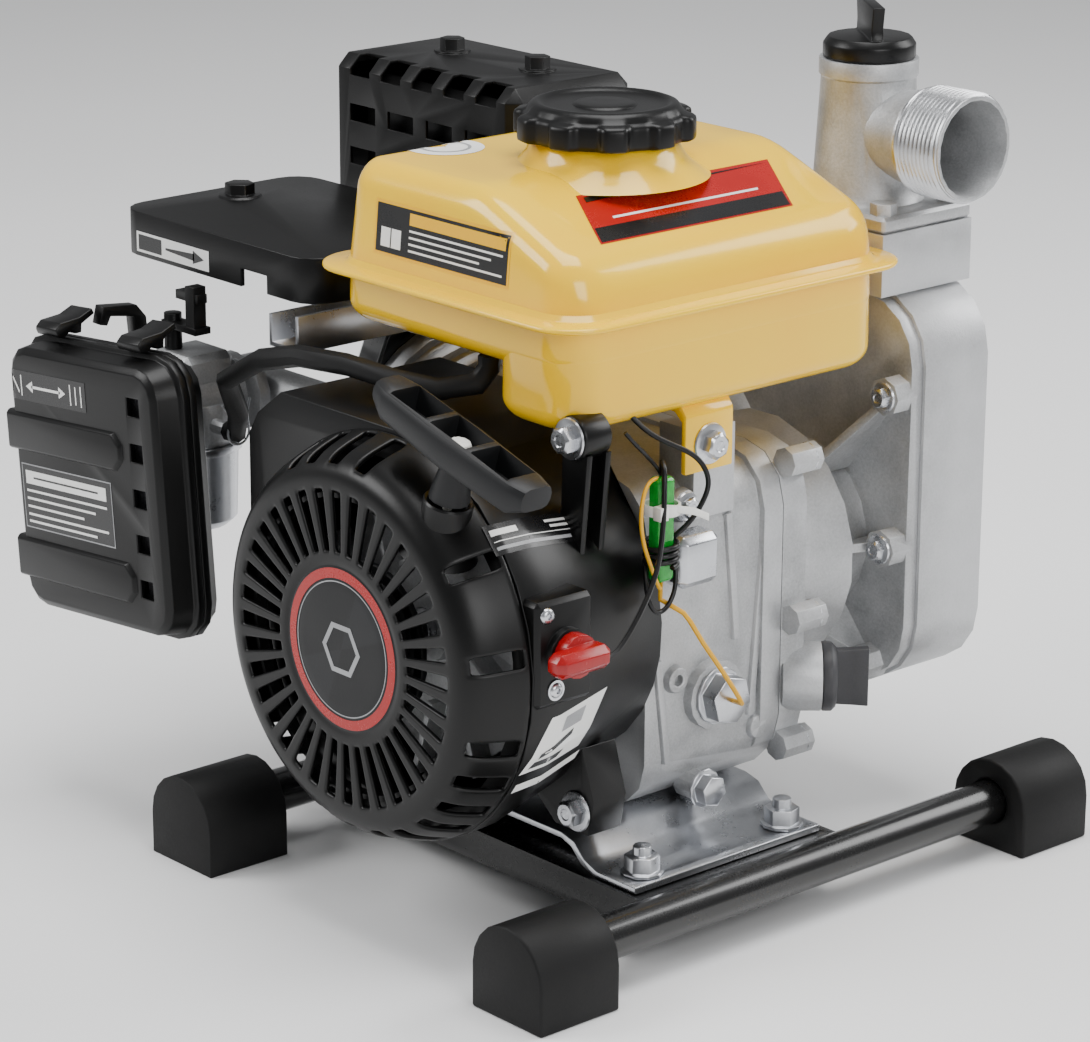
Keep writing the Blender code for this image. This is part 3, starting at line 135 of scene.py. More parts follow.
# moulded nylon and vinyl insulation reflect alike
nylonSockets = {"IOR": 1.53, "Specular IOR Level": 0.3}
# a finish's edge colour and its share paint a highlight onto its convex edges
finishes = {
    # stove enamel on pressed steel: a deep wet gloss with a faint orange peel
    "stoveEnamelYellow": {"dark": "#ffc700", "light": "#ffcf00", "driftMm": 60, "grainMm": 2.4,
                          "grainShare": 0.1, "rough": (0.16, 0.22), "depthMm": 0.012,
                          "sockets": {"IOR": 1.5, "Specular IOR Level": 0.3,
                                      "Coat Weight": 0.5, "Coat Roughness": 0.06}},
    "stoveEnamelBlack": {"dark": "#060606", "light": "#0b0b0b", "driftMm": 40, "grainMm": 2.0,
                         "rough": (0.24, 0.30), "depthMm": 0.005,
                         "sockets": {"IOR": 1.5, "Coat Weight": 0.4, "Coat Roughness": 0.12}},
    # silicone heat paint on the exhaust: satin, with a fine dry tooth
    "heatProofPaint": {"dark": "#050505", "light": "#0a0a0a", "driftMm": 25, "grainMm": 1.2,
                       "rough": (0.34, 0.46), "depthMm": 0.03,
                       "sockets": {"IOR": 1.5, "Specular IOR Level": 0.3}},
    # injection-moulded polypropylene: satin black off a lightly spark-eroded tool
    "mouldedPolypropylene": {"dark": "#050505", "light": "#090909", "driftMm": 45, "grainMm": 0.9,
                             "rough": (0.30, 0.40), "depthMm": 0.022, "edge": "#19191a",
                             "edgeHighlightShare": 0.35, "sockets": {"IOR": 1.49, "Specular IOR Level": 0.3}},
    # glass-filled nylon of the starter and its grip: greyer and drier
    "mouldedNylon": {"dark": "#0b0c0d", "light": "#101113", "driftMm": 30, "grainMm": 0.9,
                     "rough": (0.40, 0.52), "depthMm": 0.03, "edge": "#222326", "edgeHighlightShare": 0.4,
                     "sockets": nylonSockets},
    "mouldedGreyNylon": {"dark": "#38383a", "light": "#434346", "driftMm": 20, "grainMm": 0.9,
                         "rough": (0.38, 0.50), "depthMm": 0.03, "sockets": nylonSockets},
    # ABS moulded in its colour: clean gloss
    "mouldedRedAbs": {"dark": "#8f0207", "light": "#a3050b", "driftMm": 12, "grainMm": 1.0,
                      "rough": (0.22, 0.30), "depthMm": 0.012,
                      "sockets": {"IOR": 1.53, "Subsurface Weight": 0.1,
                                  "Subsurface Scale": 0.002}},
    # die-cast aluminium, shot-blasted: pale grey with a sandy 1 mm grain, drawn a little coarse to show
    "blastedAluminium": {"dark": "#a2a3a4", "light": "#c6c7c8", "driftMm": 14, "grainMm": 1.1,
                         "grainShare": 0.55, "metallic": 0.82, "rough": (0.42, 0.60),
                         "depthMm": 0.10, "edge": "#dddee0", "edgeHighlightShare": 0.5},
    # the same casting skimmed on a lathe: brighter, with fine tool lines
    "machinedAluminium": {"dark": "#b9babc", "light": "#d0d1d3", "driftMm": 9, "grainMm": 0.8,
                          "metallic": 1.0, "rough": (0.26, 0.38), "depthMm": 0.02},
    # bright zinc plate on steel: cool, slightly cloudy, bluish in the light
    "zincPlatedSteel": {"dark": "#b9bbbf", "light": "#cdcfd3", "driftMm": 16, "grainMm": 1.4,
                        "grainShare": 0.35, "metallic": 1.0, "rough": (0.26, 0.31),
                        "depthMm": 0.006, "edge": "#e4e5e8", "edgeHighlightShare": 0.4},
    "turnedSteel": {"dark": "#8c8d90", "light": "#a6a7aa", "driftMm": 6, "grainMm": 0.9,
                    "metallic": 1.0, "rough": (0.24, 0.34), "depthMm": 0.015},
    # moulded nitrile rubber: deep matt black with a soft bloom
    "mouldedRubber": {"dark": "#070707", "light": "#0c0c0c", "driftMm": 30, "grainMm": 1.3,
                      "rough": (0.50, 0.64), "depthMm": 0.05, "edge": "#19191a",
                      "edgeHighlightShare": 0.3,
                      "sockets": {"IOR": 1.52, "Specular IOR Level": 0.25}},
    "wireInsulationBlack": {"dark": "#0f0f10", "light": "#171718", "driftMm": 10, "grainMm": 0.8,
                            "rough": (0.28, 0.36), "depthMm": 0.01, "sockets": nylonSockets},
    "wireInsulationYellow": {"dark": "#dba117", "light": "#e6ad20", "driftMm": 8, "grainMm": 0.8,
                             "rough": (0.30, 0.38), "depthMm": 0.01, "sockets": nylonSockets},
    "nylonTieWhite": {"dark": "#e4e4de", "light": "#efefea", "driftMm": 6, "grainMm": 0.8,
                      "rough": (0.28, 0.36), "depthMm": 0.01, "sockets": nylonSockets},
    # clear green vinyl sleeve over the terminals: light goes into it and comes back softened
    "clearGreenVinyl": {"dark": "#0aa02b", "light": "#1cc443", "driftMm": 5, "grainMm": 1.0,
                        "rough": (0.10, 0.18), "depthMm": 0.02,
                        "sockets": {"IOR": 1.53, "Transmission Weight": 0.35,
                                    "Subsurface Weight": 0.25, "Subsurface Scale": 0.003}},
    "turnedBrass": {"dark": "#b58b3e", "light": "#cda352", "driftMm": 6, "grainMm": 0.9,
                    "metallic": 1.0, "rough": (0.22, 0.32), "depthMm": 0.012},
    # reticulated foam: open cells of about 1.5 mm
    "openCellFoam": {"dark": "#1b1b1d", "light": "#45454a", "driftMm": 10, "grainMm": 1.5,
                     "grainShare": 0.85, "rough": (0.86, 0.98), "depthMm": 0.6,
                     "sockets": {"Sheen Weight": 0.2}},
    # braided nylon rope: a pale cord with a 2 mm pick
    "braidedNylon": {"dark": "#c9c8c0", "light": "#efeee8", "driftMm": 3, "grainMm": 1.0,
                     "grainShare": 0.7, "rough": (0.62, 0.78), "depthMm": 0.25,
                     "sockets": {"Sheen Weight": 0.3}},
}
# printed vinyl stickers: flat ink under a thin clear film
vinyls = {"vinylWhite": ("#e9e9e6", "#f1f1ee", (0.28, 0.34)),
          "vinylBlack": ("#0e0e0f", "#141415", (0.24, 0.30)),
          "vinylRed": ("#a00a06", "#ac0e09", (0.24, 0.30)),
          "vinylYellow": ("#f0b400", "#f6bd00", (0.28, 0.34)),
          "vinylGrey": ("#8b8c8e", "#a3a4a6", (0.28, 0.34))}
for name, (dark, light, rough) in vinyls.items():
    finishes[name] = {"dark": dark, "light": light, "driftMm": 20, "grainMm": 0.8,
                      "rough": rough, "depthMm": 0.001, "sockets": {"IOR": 1.5}}
material = {name: makeFinish(name, look) for name, look in finishes.items()}
slotFinish = {"black_paint": "stoveEnamelBlack", "yellow_paint": "stoveEnamelYellow",
              "heat_black": "heatProofPaint", "zinc_steel": "zincPlatedSteel",
              "machined_steel": "turnedSteel", "cast_aluminium": "blastedAluminium",
              "rubber": "mouldedRubber", "black_plastic": "mouldedPolypropylene",
              "dark_plastic": "mouldedNylon", "grey_plastic": "mouldedGreyNylon",
              "red_plastic": "mouldedRedAbs", "green_plastic": "clearGreenVinyl",
              "yellow_wire": "wireInsulationYellow", "brass": "turnedBrass",
              "foam": "openCellFoam", "rope": "braidedNylon"}
slotOf = {part["node"]: part["material_slot"] for part in frame["record"]["subparts"]}
print("materials made:", len(material))


# ---- meshes

def shadeRound(mesh, degrees):
    mesh.shade_smooth()
    mesh.set_sharp_from_angle(angle=math.radians(degrees))


def addPiece(name, mesh, body, finish, smooth=38):
    piece = bpy.data.objects.new(name, mesh)
    bpy.context.scene.collection.objects.link(piece)
    mesh.materials.clear()
    mesh.materials.append(material[finish])
    if smooth:
        shadeRound(mesh, smooth)
    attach(piece, body)
    return piece


def bakeModifiers(piece):
    bpy.context.view_layer.update()
    graph = bpy.context.evaluated_depsgraph_get()
    mesh = bpy.data.meshes.new_from_object(piece.evaluated_get(graph))
    piece.modifiers.clear()
    piece.data = mesh


def roundEdges(piece, radius, fromDegrees):
    bevel = piece.modifiers.new("roundedEdges", "BEVEL")
    bevel.width = radius / 1000
    bevel.segments = 2
    bevel.limit_method = "ANGLE"
    bevel.angle_limit = math.radians(fromDegrees)
    bakeModifiers(piece)


def bevelPiece(piece, radius):
    roundEdges(piece, radius, 30)
    shadeRound(piece.data, 40)


# A CAD node's own shape with its edges broken by a small radius and its curves shaded round.
def refineNode(node, radius, adjust=None):
    body, slot = bodyOf[node], slotOf[node]
    mesh = bpy.data.meshes.new(node + "Surface")
    bm = bmesh.new()
    bm.from_mesh(nodes[node].data)
    bmesh.ops.remove_doubles(bm, verts=bm.verts, dist=2e-6)
    bmesh.ops.dissolve_limit(bm, angle_limit=math.radians(0.6), verts=bm.verts, edges=bm.edges)
    if adjust:
        adjust(bm)
    bm.to_mesh(mesh)
    bm.free()
    piece = addPiece(node + "Surface", mesh, body, slotFinish[slot])
    if radius:
        roundEdges(piece, radius, 32)
    shadeRound(piece.data, 38)
    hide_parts(node)
    return piece


# Millimetres; 0 leaves the edges alone.
edgeRadius = {"default": 0.5, "rail_left": 0, "rail_right": 0, "fuel_hose": 0, "sensor_wire": 0,
              "switch_wire": 0, "crankcase": 0.9, "crankcase_cover": 0.9, "pump_casing": 1.4,
              "pump_adapter": 0.9, "blower_housing": 1.0, "muffler": 1.0, "pull_handle": 1.2,
              "control_cover": 1.3, "switch_knob": 1.0, "flywheel": 0.3, "impeller": 0.3,
              **{node: 1.2 for node in nodes if node.startswith("rubber_foot")}}
fresh = set()      # nodes that get a piece of their own before the rest are refined


def meshFrom(name, build):
    mesh = bpy.data.meshes.new(name)
    bm = bmesh.new()
    build(bm)
    bmesh.ops.recalc_face_normals(bm, faces=bm.faces)
    bm.to_mesh(mesh)
    bm.free()
    return mesh


# Rings of points joined one after the other; closed also joins the last to the first.
def joinRings(bm, rings, closed=False):
    rows = [[bm.verts.new(point) for point in ring] for ring in rings]
    for near, far in zip(rows, rows[1:] + rows[:1] if closed else rows[1:]):
        for i in range(len(near)):
            j = (i + 1) % len(near)
            bm.faces.new((near[i], near[j], far[j], far[i]))
    return rows


# A solid from rings, with the first and the last filled flat.
def loft(bm, rings):
    rows = joinRings(bm, rings)
    bm.faces.new(list(reversed(rows[0])))
    bm.faces.new(rows[-1])


def circle(sides):
    return [2 * math.pi * i / sides for i in range(sides)]


# Gives the point at an angle, a radius and a distance, both in millimetres, about a line.
def aroundLine(start, direction):
    side = direction.orthogonal().normalized()
    other = direction.cross(side)
    return lambda a, radius, distance: (start + direction * (distance / 1000)
                                        + (side * math.cos(a) + other * math.sin(a)) * (radius / 1000))


# A turned shape: (radius, distance) pairs in millimetres along a direction from a start.
# A ring's profile closes on itself, and any other ends in flat faces.
def turn(bm, profile, start, direction, sides=48, ring=False):
    point = aroundLine(start, direction)
    rings = [[point(a, max(radius, 0.01), distance) for a in circle(sides)]
             for radius, distance in profile]
    if ring:
        joinRings(bm, rings, closed=True)
    else:
        loft(bm, rings)


def roundedRectangle(low, high, radius, steps=8):
    points = []
    corners = ((high[0] - radius, high[1] - radius, 0), (low[0] + radius, high[1] - radius, 90),
               (low[0] + radius, low[1] + radius, 180), (high[0] - radius, low[1] + radius, 270))
    for x, y, start in corners:
        for i in range(steps + 1):
            a = math.radians(start + 90 * i / steps)
            points.append((x + radius * math.cos(a), y + radius * math.sin(a)))
    return points


# A hexagon-headed flange screw: skirt, chamfered head and a shallow dimple in its top.
def hexScrew(bm, seat, direction, flats=10.0, head=6.0, skirt=8.4, rise=1.6):
    turn(bm, [(0, 0), (skirt - 0.3, 0), (skirt, 0.4), (skirt - 0.4, 1.0), (flats * 0.56, rise),
              (0, rise)], seat, direction, 36)
    point = aroundLine(seat, direction)
    turnedDown = flats / 2 * 1.02      # the chamfer trims the corners to this radius
    rings = []
    for share, up in ((1.0, rise * 0.6), (1.0, head - 0.9), (0.93, head - 0.35), (0.84, head),
                      (0.5, head), (0.4, head - 0.4), (0.02, head - 0.4)):
        ring = []
        for a in circle(36):
            fromFlat = (a + math.pi / 6) % (math.pi / 3) - math.pi / 6
            reach = flats / 2 / math.cos(fromFlat)
            ring.append(point(a, reach if share == 1.0 else min(reach, turnedDown) * share, up))
        rings.append(ring)
    loft(bm, rings)


# A hose or wire through its points, as a round tube.
def tube(name, points, diameter, body, finish):
    curve = bpy.data.curves.new(name, "CURVE")
    curve.dimensions = "3D"
    curve.bevel_depth = diameter / 2000
    curve.bevel_resolution = 4
    curve.use_fill_caps = True
    curve.resolution_u = 8
    spline = curve.splines.new("NURBS")
    spline.points.add(len(points) - 1)
    for target, point in zip(spline.points, points):
        target.co = (*point, 1.0)
    spline.use_endpoint_u = True
    spline.order_u = 4
    piece = bpy.data.objects.new(name, curve)
    bpy.context.scene.collection.objects.link(piece)
    graph = bpy.context.evaluated_depsgraph_get()
    mesh = bpy.data.meshes.new_from_object(piece.evaluated_get(graph))
    bpy.data.objects.remove(piece)
    return addPiece(name, mesh, body, finish, 60)


# Printed vinyl lies on whatever is under it: each patch is a small grid dropped onto the surface.
def dropOn(trees, point, outward, above=0.03, reach=0.08):
    best = None
    for tree in trees:
        hit, _, _, away = tree.ray_cast(point + outward * above, -outward, reach)
        if hit is not None and (best is None or away < best[1]):
            best = (hit, away)
    return best[0] if best else point


def surfaceTree(piece):
    mesh = piece.data
    return BVHTree.FromPolygons([v.co.copy() for v in mesh.vertices],
                                [list(p.vertices) for p in mesh.polygons])


# A patch's rows of (x, y). A shape is a rectangle (x0, y0, x1, y1), a slanted one with four
# corners, or a ring (x, y, inner, outer, sides), all in millimetres about the middle.
def patchRows(shape, cell=2.2):
    if len(shape) == 5:
        x, y, inner, outer, sides = shape
        return [[(x + radius * math.cos(a), y + radius * math.sin(a)) for a in circle(sides)]
                for radius in (inner, (inner + outer) / 2, outer)]
    if not isinstance(shape[0], tuple):
        x0, y0, x1, y1 = shape
        shape = ((x0, y0), (x1, y0), (x1, y1), (x0, y1))
    (ax, ay), (bx, by), (cx, cy), (dx, dy) = shape
    wide = max(2, int(math.hypot(bx - ax, by - ay) / cell))
    high = max(1, int(math.hypot(dx - ax, dy - ay) / cell))
    rows = []
    for t in (j / high for j in range(high + 1)):
        rows.append([((ax * (1 - s) + bx * s) * (1 - t) + (dx * (1 - s) + cx * s) * t,
                      (ay * (1 - s) + by * s) * (1 - t) + (dy * (1 - s) + cy * s) * t)
                     for s in (i / wide for i in range(wide + 1))])
    return rows


# Patches are (finish, lift in millimetres, shape).
def sticker(name, targets, centre, across, upward, patches, body):
    trees = [surfaceTree(piece) for piece in targets]
    across = across.normalized()
    outward = across.cross(upward).normalized()
    upward = outward.cross(across)
    names = []
    bm = bmesh.new()
    for finish, lift, shape in patches:
        if finish not in names:
            names.append(finish)
        grid = [[bm.verts.new(dropOn(trees, centre + across * (x / 1000) + upward * (y / 1000), outward)
                              + outward * (lift / 1000)) for x, y in row] for row in patchRows(shape)]
        for near, far in zip(grid, grid[1:]):
            for i in range(len(near) if len(shape) == 5 else len(near) - 1):
                j = (i + 1) % len(near)
                face = bm.faces.new((near[i], near[j], far[j], far[i]))
                face.material_index = names.index(finish)
    bmesh.ops.recalc_face_normals(bm, faces=bm.faces)
    if sum(face.normal.dot(outward) for face in bm.faces) < 0:
        bmesh.ops.reverse_faces(bm, faces=bm.faces)
    mesh = bpy.data.meshes.new(name)
    bm.to_mesh(mesh)
    bm.free()
    inks = [polygon.material_index for polygon in mesh.polygons]
    addPiece(name, mesh, body, names[0], smooth=40)
    for other in names[1:]:
        mesh.materials.append(material[other])
    mesh.polygons.foreach_set("material_index", inks)


# ---- starter cover: one moulding, its slots and shoulder windows left open in the shell
starter = {"columns": 288, "slotPitch": 8, "slotColumns": 4, "slotRows": range(4, 9),
           "windowColumns": range(-2, 2), "windowRows": range(13, 18), "wall": 2.4,
           "stations": [(30, -154.4), (35.3, -154.4), (36.1, -155.0), (39.3, -155.0), (40.6, -155.0),
                        (42.5, -155.0), (50, -155.0), (58, -155.0), (63.6, -155.0), (65.4, -155.0),
                        (67.4, -155.0), (70.6, -154.7), (73.6, -153.7), (76.4, -151.6),
                        (78.8, -148.4), (80.6, -144.6), (82.2, -140.0), (83.7, -135.0),
                        (84.9, -131.0), (85.7, -128.4)],
           "windows": [36, 9, -17, -30, -42, -54, -66, -78, -90, -102, -114, -126, -138,
                       84, 96, 107, 118]}


def buildStarterCover(bm):
    n = starter["columns"]
    rows = []
    for radius, y in starter["stations"]:
        rows.append([bm.verts.new(at(radius * math.cos(a), y, crank["height"] + radius * math.sin(a)))
                     for a in circle(n)])
    gaps = {(row, i) for i in range(n) if i % starter["slotPitch"] < starter["slotColumns"]
            for row in starter["slotRows"]}
    for angle in starter["windows"]:
        middle = round(angle / 360 * n)
        gaps |= {(row, (middle + k) % n) for row in starter["windowRows"]
                 for k in starter["windowColumns"]}
    for row in range(len(rows) - 1):
        for i in range(n):
            if (row, i) not in gaps:
                j = (i + 1) % n
                bm.faces.new((rows[row][i], rows[row][j], rows[row + 1][j], rows[row + 1][i]))


cover = addPiece("starterCover", meshFrom("starterCover", buildStarterCover), "engine",
                 "mouldedPolypropylene", 0)
if sum(f.normal.y for f in cover.data.polygons if abs(f.normal.y) > 0.9) > 0:
    cover.data.flip_normals()
solid = cover.modifiers.new("wall", "SOLIDIFY")
solid.thickness = starter["wall"] / 1000
solid.offset = -1
soften = cover.modifiers.new("rounding", "SUBSURF")
soften.levels = soften.render_levels = 1
bakeModifiers(cover)
shadeRound(cover.data, 50)
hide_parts("recoil_cover")
fresh.add("recoil_cover")

# A flared guide for the rope, and a raised ring inside the slots.
ropeGuide = {"mouth": at(46, -139, 188), "lean": math.radians(16)}


def buildStarterDetails(bm):
    pull = along(math.sin(ropeGuide["lean"]), 0, math.cos(ropeGuide["lean"]))
    turn(bm, [(7.2, -16), (16, -16), (12.2, -9), (10.6, -3), (10.0, 4), (10.2, 7.4), (9.6, 8.2),
              (8.4, 8.0), (7.9, 5.0), (7.2, 2.0)], ropeGuide["mouth"], pull, 48, ring=True)
    turn(bm, [(61.4, 4.6), (63.4, 4.6), (63.4, 9.5), (61.4, 9.5)], at(0, -155, crank["height"]),
         Vector((0, 1, 0)), 96, ring=True)


addPiece("ropeGuide", meshFrom("ropeGuide", buildStarterDetails), "engine",
         "mouldedPolypropylene")

# The round badge in its middle: a plain domed plate with a red band, and a plain hexagon on it.
badge = {"radius": 35.2, "rise": 0.5}


def buildBadge(bm):
    turn(bm, [(0, 2.5), (badge["radius"], 2.5), (badge["radius"], 0.2),
              (badge["radius"] - 0.5, -0.1), (24, -badge["rise"]), (0.01, -badge["rise"] - 0.1)],
         at(0, -154.4, crank["height"]), Vector((0, 1, 0)), 96)


badgePlate = addPiece("badgePlate", meshFrom("badgePlate", buildBadge), "engine",
                      "mouldedNylon")
print("starter cover made")


# ---- fuel tank: two pressed halves on a flange, and a screwed cap over its neck
tank = {"x": (-83, 65), "y": (-91, 87), "seam": 259, "corner": 17, "edge": 11, "draft": 0.045,
        "top": ((-90, 304), (4, 304), (20, 298), (45, 288), (66, 280)), "highest": 304.0,
        "depth": 45, "filler": (-7, -8), "floors": ((236, -83), (214, 14)), "floorRadius": 9}


# The height of the top along x, averaged over 16 mm so that its bends are soft.
def tankTop(x):
    total = 0.0
    spots = range(-8, 9, 2)
    for spot in (x + k for k in spots):
        for (x0, z0), (x1, z1) in zip(tank["top"], tank["top"][1:]):
            if spot <= x1 or x1 == tank["top"][-1][0]:
                total += z0 + (z1 - z0) * (spot - x0) / (x1 - x0)
                break
    return min(total / len(spots), tank["highest"])


def tankPlan(inset, lowX):
    return roundedRectangle((lowX + inset, tank["y"][0] + inset),
                            (tank["x"][1] - inset, tank["y"][1] - inset),
                            tank["corner"] - inset * 0.5)


def buildTankDome(bm):
    corner, edge, bottom = tank["corner"], tank["edge"], tank["seam"] - 0.6
    (lowX, highX), (lowY, highY) = tank["x"], tank["y"]
    ends = [(corner * (1 - math.cos(a)), corner * (1 - math.sin(a)))
            for a in (math.pi / 2 * k / 10 for k in range(11))]
    stations = [(lowX + d, drawn) for d, drawn in ends]
    stations += [(x, 0.0) for x in range(-60, 46, 5)]
    stations += [(highX - d, drawn) for d, drawn in reversed(ends)]
    middleX, middleY = (lowX + highX) / 2, (lowY + highY) / 2
    rings = []
    for x, drawn in stations:
        lost = max(0.0, edge - min(x - lowX, highX - x))
        top = tankTop(x) - (edge - math.sqrt(max(0.0, edge * edge - lost * lost)))
        low, high = lowY + drawn, highY - drawn
        line = [(low, bottom), (high, bottom)]
        line += [(high, bottom + (top - edge - bottom) * k / 4) for k in (1, 2, 3)]
        line += [(high - edge + edge * math.cos(a), top - edge + edge * math.sin(a))
                 for a in (math.pi / 2 * k / 8 for k in range(9))]
        line += [(high - edge + (low - high + 2 * edge) * k / 12, top) for k in range(1, 12)]
        line += [(low + edge - edge * math.sin(a), top - edge + edge * math.cos(a))
                 for a in (math.pi / 2 * k / 8 for k in range(9))]
        line += [(low, top - edge - (top - edge - bottom) * k / 4) for k in (1, 2, 3)]
        ring = []
        for y, z in line:
            share = 1 - tank["draft"] * (z - bottom) / tank["depth"]
            ring.append(at(middleX + (x - middleX) * share, middleY + (y - middleY) * share, z))
        rings.append(ring)
    loft(bm, rings)


def buildTankLower(bm):
    seam, radius = tank["seam"], tank["floorRadius"]
    for floor, lowX in tank["floors"]:
        rings = []
        for k in range(9):
            a = math.pi / 2 * k / 8
            inset, z = radius * (1 - math.sin(a)), floor + radius * (1 - math.cos(a))
            rings.append([at(x, y, z) for x, y in tankPlan(inset, lowX)])
        rings.append([at(x, y, seam - 4) for x, y in tankPlan(0.3, lowX)])
        rings.append([at(x, y, seam + 0.5) for x, y in tankPlan(0.3, lowX)])
        loft(bm, rings)
    seamProfile = ((-0.2, -4.0), (-1.0, -2.2), (-3.0, -1.3), (-8.6, -1.2), (-9.3, -0.8), (-9.5, 0.0),
                   (-9.3, 0.8), (-8.6, 1.2), (-2.4, 1.3), (-0.8, 2.0), (0.2, 3.8), (3, 5.0))
    loft(bm, [[at(x, y, seam + z) for x, y in tankPlan(inset, tank["x"][0])]
              for inset, z in seamProfile])


def buildTankNeck(bm):
    x, y = tank["filler"]
    turn(bm, [(22, -3), (44, -3), (39, 0.6), (35, 3.6), (32.2, 7.4), (30.6, 11), (29.4, 12.2),
              (22.8, 12.4), (22.0, 11.6)], at(x, y, 301), upward, 72, ring=True)


def strip(bm, outline, y0, y1):
    loft(bm, [[at(x, y, z) for x, z in outline] for y in (y0, y1)])


def buildTankBrackets(bm):
    strip(bm, [(58.8, 186), (61.8, 186), (61.8, 211), (57.8, 216.5), (32, 216.5), (32, 212.5),
               (54.8, 211.5), (58.8, 208)], -25, 2)
    strip(bm, [(-30, 238), (-30, 234), (-57, 234), (-57, 222), (-60, 222), (-60, 238)], -36, -14)


tankDome = addPiece("tankUpperHalf", meshFrom("tankUpperHalf", buildTankDome), "engine",
                    "stoveEnamelYellow", 50)
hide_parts("fuel_tank")
fresh.add("fuel_tank")
addPiece("tankLowerHalf", meshFrom("tankLowerHalf", buildTankLower), "engine",
         "stoveEnamelYellow", 50)
addPiece("tankNeck", meshFrom("tankNeck", buildTankNeck), "engine", "stoveEnamelYellow")
bevelPiece(addPiece("tankBrackets", meshFrom("tankBrackets", buildTankBrackets), "engine",
                    "stoveEnamelYellow"), 1.0)
addPiece("tankStrainer", meshFrom("tankStrainer", lambda bm: turn(
    bm, [(0, 0), (22.2, 0), (22.2, 0.6), (0, 0.6)], at(*tank["filler"], 304.2),
    upward, 48)), "engine", "zincPlatedSteel")

# ---- filler cap: a turned moulding whose rim has ten soft lobes for the grip
cap = {"lobes": 10, "depth": 1.8, "sharpness": 3.0, "base": 313.3, "sides": 240}


def buildFuelCap(bm):
    x, y = tank["filler"]
    rings = []
    for radius, z, share in ((19.5, -8.6, 0), (21.0, -8.0, 0), (21.1, 0.2, 0), (31, 0.2, 0),
                             (35.0, 0.2, 0.8), (36.0, 0.9, 1), (36.2, 2.2, 1), (36.2, 8.4, 1),
                             (35.9, 9.6, 1), (34.9, 10.5, 0.9), (33.4, 10.9, 0.5), (32.4, 11.6, 0.2),
                             (31.4, 13.2, 0.05), (30.2, 14.4, 0), (28.6, 15.0, 0), (27.2, 14.9, 0),
                             (25.9, 14.0, 0), (24.6, 13.3, 0), (20, 13.2, 0), (13.4, 13.2, 0),
                             (12.6, 14.0, 0), (11.0, 14.3, 0), (5, 14.3, 0), (0.05, 14.3, 0)):
        ring = []
        for a in circle(cap["sides"]):
            lobe = math.tanh(cap["sharpness"] * math.cos(cap["lobes"] * a))
            reach = radius + share * cap["depth"] * lobe
            ring.append(at(x + reach * math.cos(a), y + reach * math.sin(a), cap["base"] + z))
        rings.append(ring)
    loft(bm, rings)


fuelCap = addPiece("fuelCapMoulding", meshFrom("fuelCapMoulding", buildFuelCap), "tank_cap",
                   "mouldedPolypropylene", 42)
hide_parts("fuel_cap")
fresh.add("fuel_cap")
print("fuel tank made")


# ---- pump ports: both spigots are cut back to the thread's root and get a real helix
thread = {"pitch": 2.31, "crest": 23.85, "root": 22.45, "bore": 21.9, "length": 25.5,
          "runIn": 3.0, "runOut": 1.2, "sides": 96, "ringsPerTurn": 7}


def buildThread(bm, start, direction):
    point = aroundLine(start, direction)
    length, sides = thread["length"], thread["sides"]
    steps = int(length / thread["pitch"] * thread["ringsPerTurn"])
    rings = []
    for k in range(steps + 1):
        distance = length * k / steps
        fade = min(1.0, distance / thread["runIn"], (length - distance) / thread["runOut"] + 0.1)
        ring = []
        for i, a in enumerate(circle(sides)):
            phase = (distance / thread["pitch"] - i / sides) % 1.0
            rise = max(0.0, 1 - abs(phase - 0.5) * 2.2) * fade
            height = (thread["crest"] - thread["root"]) * min(1.0, rise * 1.15)
            ring.append(point(a, thread["root"] + height, distance))
        rings.append(ring)
    rings += [[point(a, thread["bore"], distance) for a in circle(sides)] for distance in (length, 0)]
    joinRings(bm, rings, closed=True)


# Brings a spigot's outside in to the thread's root; the rest of the node keeps its shape.
def cutBack(axis, start):
    def adjust(bm):
        for vertex in bm.verts:
            away = vertex.co - start
            down = away.dot(axis)
            radial = away - axis * down
            if down > -0.0005 and 0.0230 < radial.length < 0.0246:
                vertex.co = start + axis * down + radial.normalized() * (thread["root"] / 1000)
    return adjust


ports = {"discharge_outlet": (at(45.0, 130.1, 301.5), Vector((1, 0, 0))),
         "inlet_flange": (at(0, 171.3, 186), Vector((0, 1, 0)))}
for node, (start, axis) in ports.items():
    refineNode(node, 0.7, cutBack(axis, start))
    fresh.add(node)
    addPiece(node + "Thread", meshFrom(node + "Thread",
             lambda bm: buildThread(bm, start + axis * 0.0008, axis)), "engine",
             "machinedAluminium", 60)
print("pump threads made")


# ---- every other CAD node keeps its shape, with its edges broken and a finish of its own
refined = {}
for node in nodes:
    if node not in fresh:
        refined[node] = refineNode(node, edgeRadius.get(node, edgeRadius["default"]))
refined["fuel_hose"].data.materials[0] = material["mouldedRubber"]
refined["switch_wire"].data.materials[0] = material["wireInsulationBlack"]
print("CAD nodes refined:", len(refined))


# ---- screws that hold the castings, the shroud and the tank
# Each is (seat, direction, width over flats, head height, skirt radius).
screws = [((x, 97.0, z), (0, -1, 0), 8.0, 4.6, 6.6)
          for x, z in ((56, 196), (56, 128), (44, 72), (-56, 196), (-56, 128), (-44, 72))]
screws += [((x, 47.2, z), (0, 1, 0), 8.0, 3.4, 6.4)
           for x, z in ((60, 180), (65, 112), (59, 54), (-60, 180), (-65, 112), (-59, 54))]
screws += [((62, -88, 214), (0, -1, 0), 10.0, 6.4, 8.6),
           ((61.9, -11.5, 197.5), (1, 0, 0), 10.0, 6.4, 8.8),
           ((63, -84.2, 56), (0, -1, 0), 10.0, 6.4, 8.6),
           ((61.6, -24, 173), (1, 0, 0), 8.0, 4.6, 6.4)]


def buildScrews(bm):
    for seat, way, flats, head, skirt in screws:
        hexScrew(bm, at(*seat), Vector(way), flats, head, skirt)


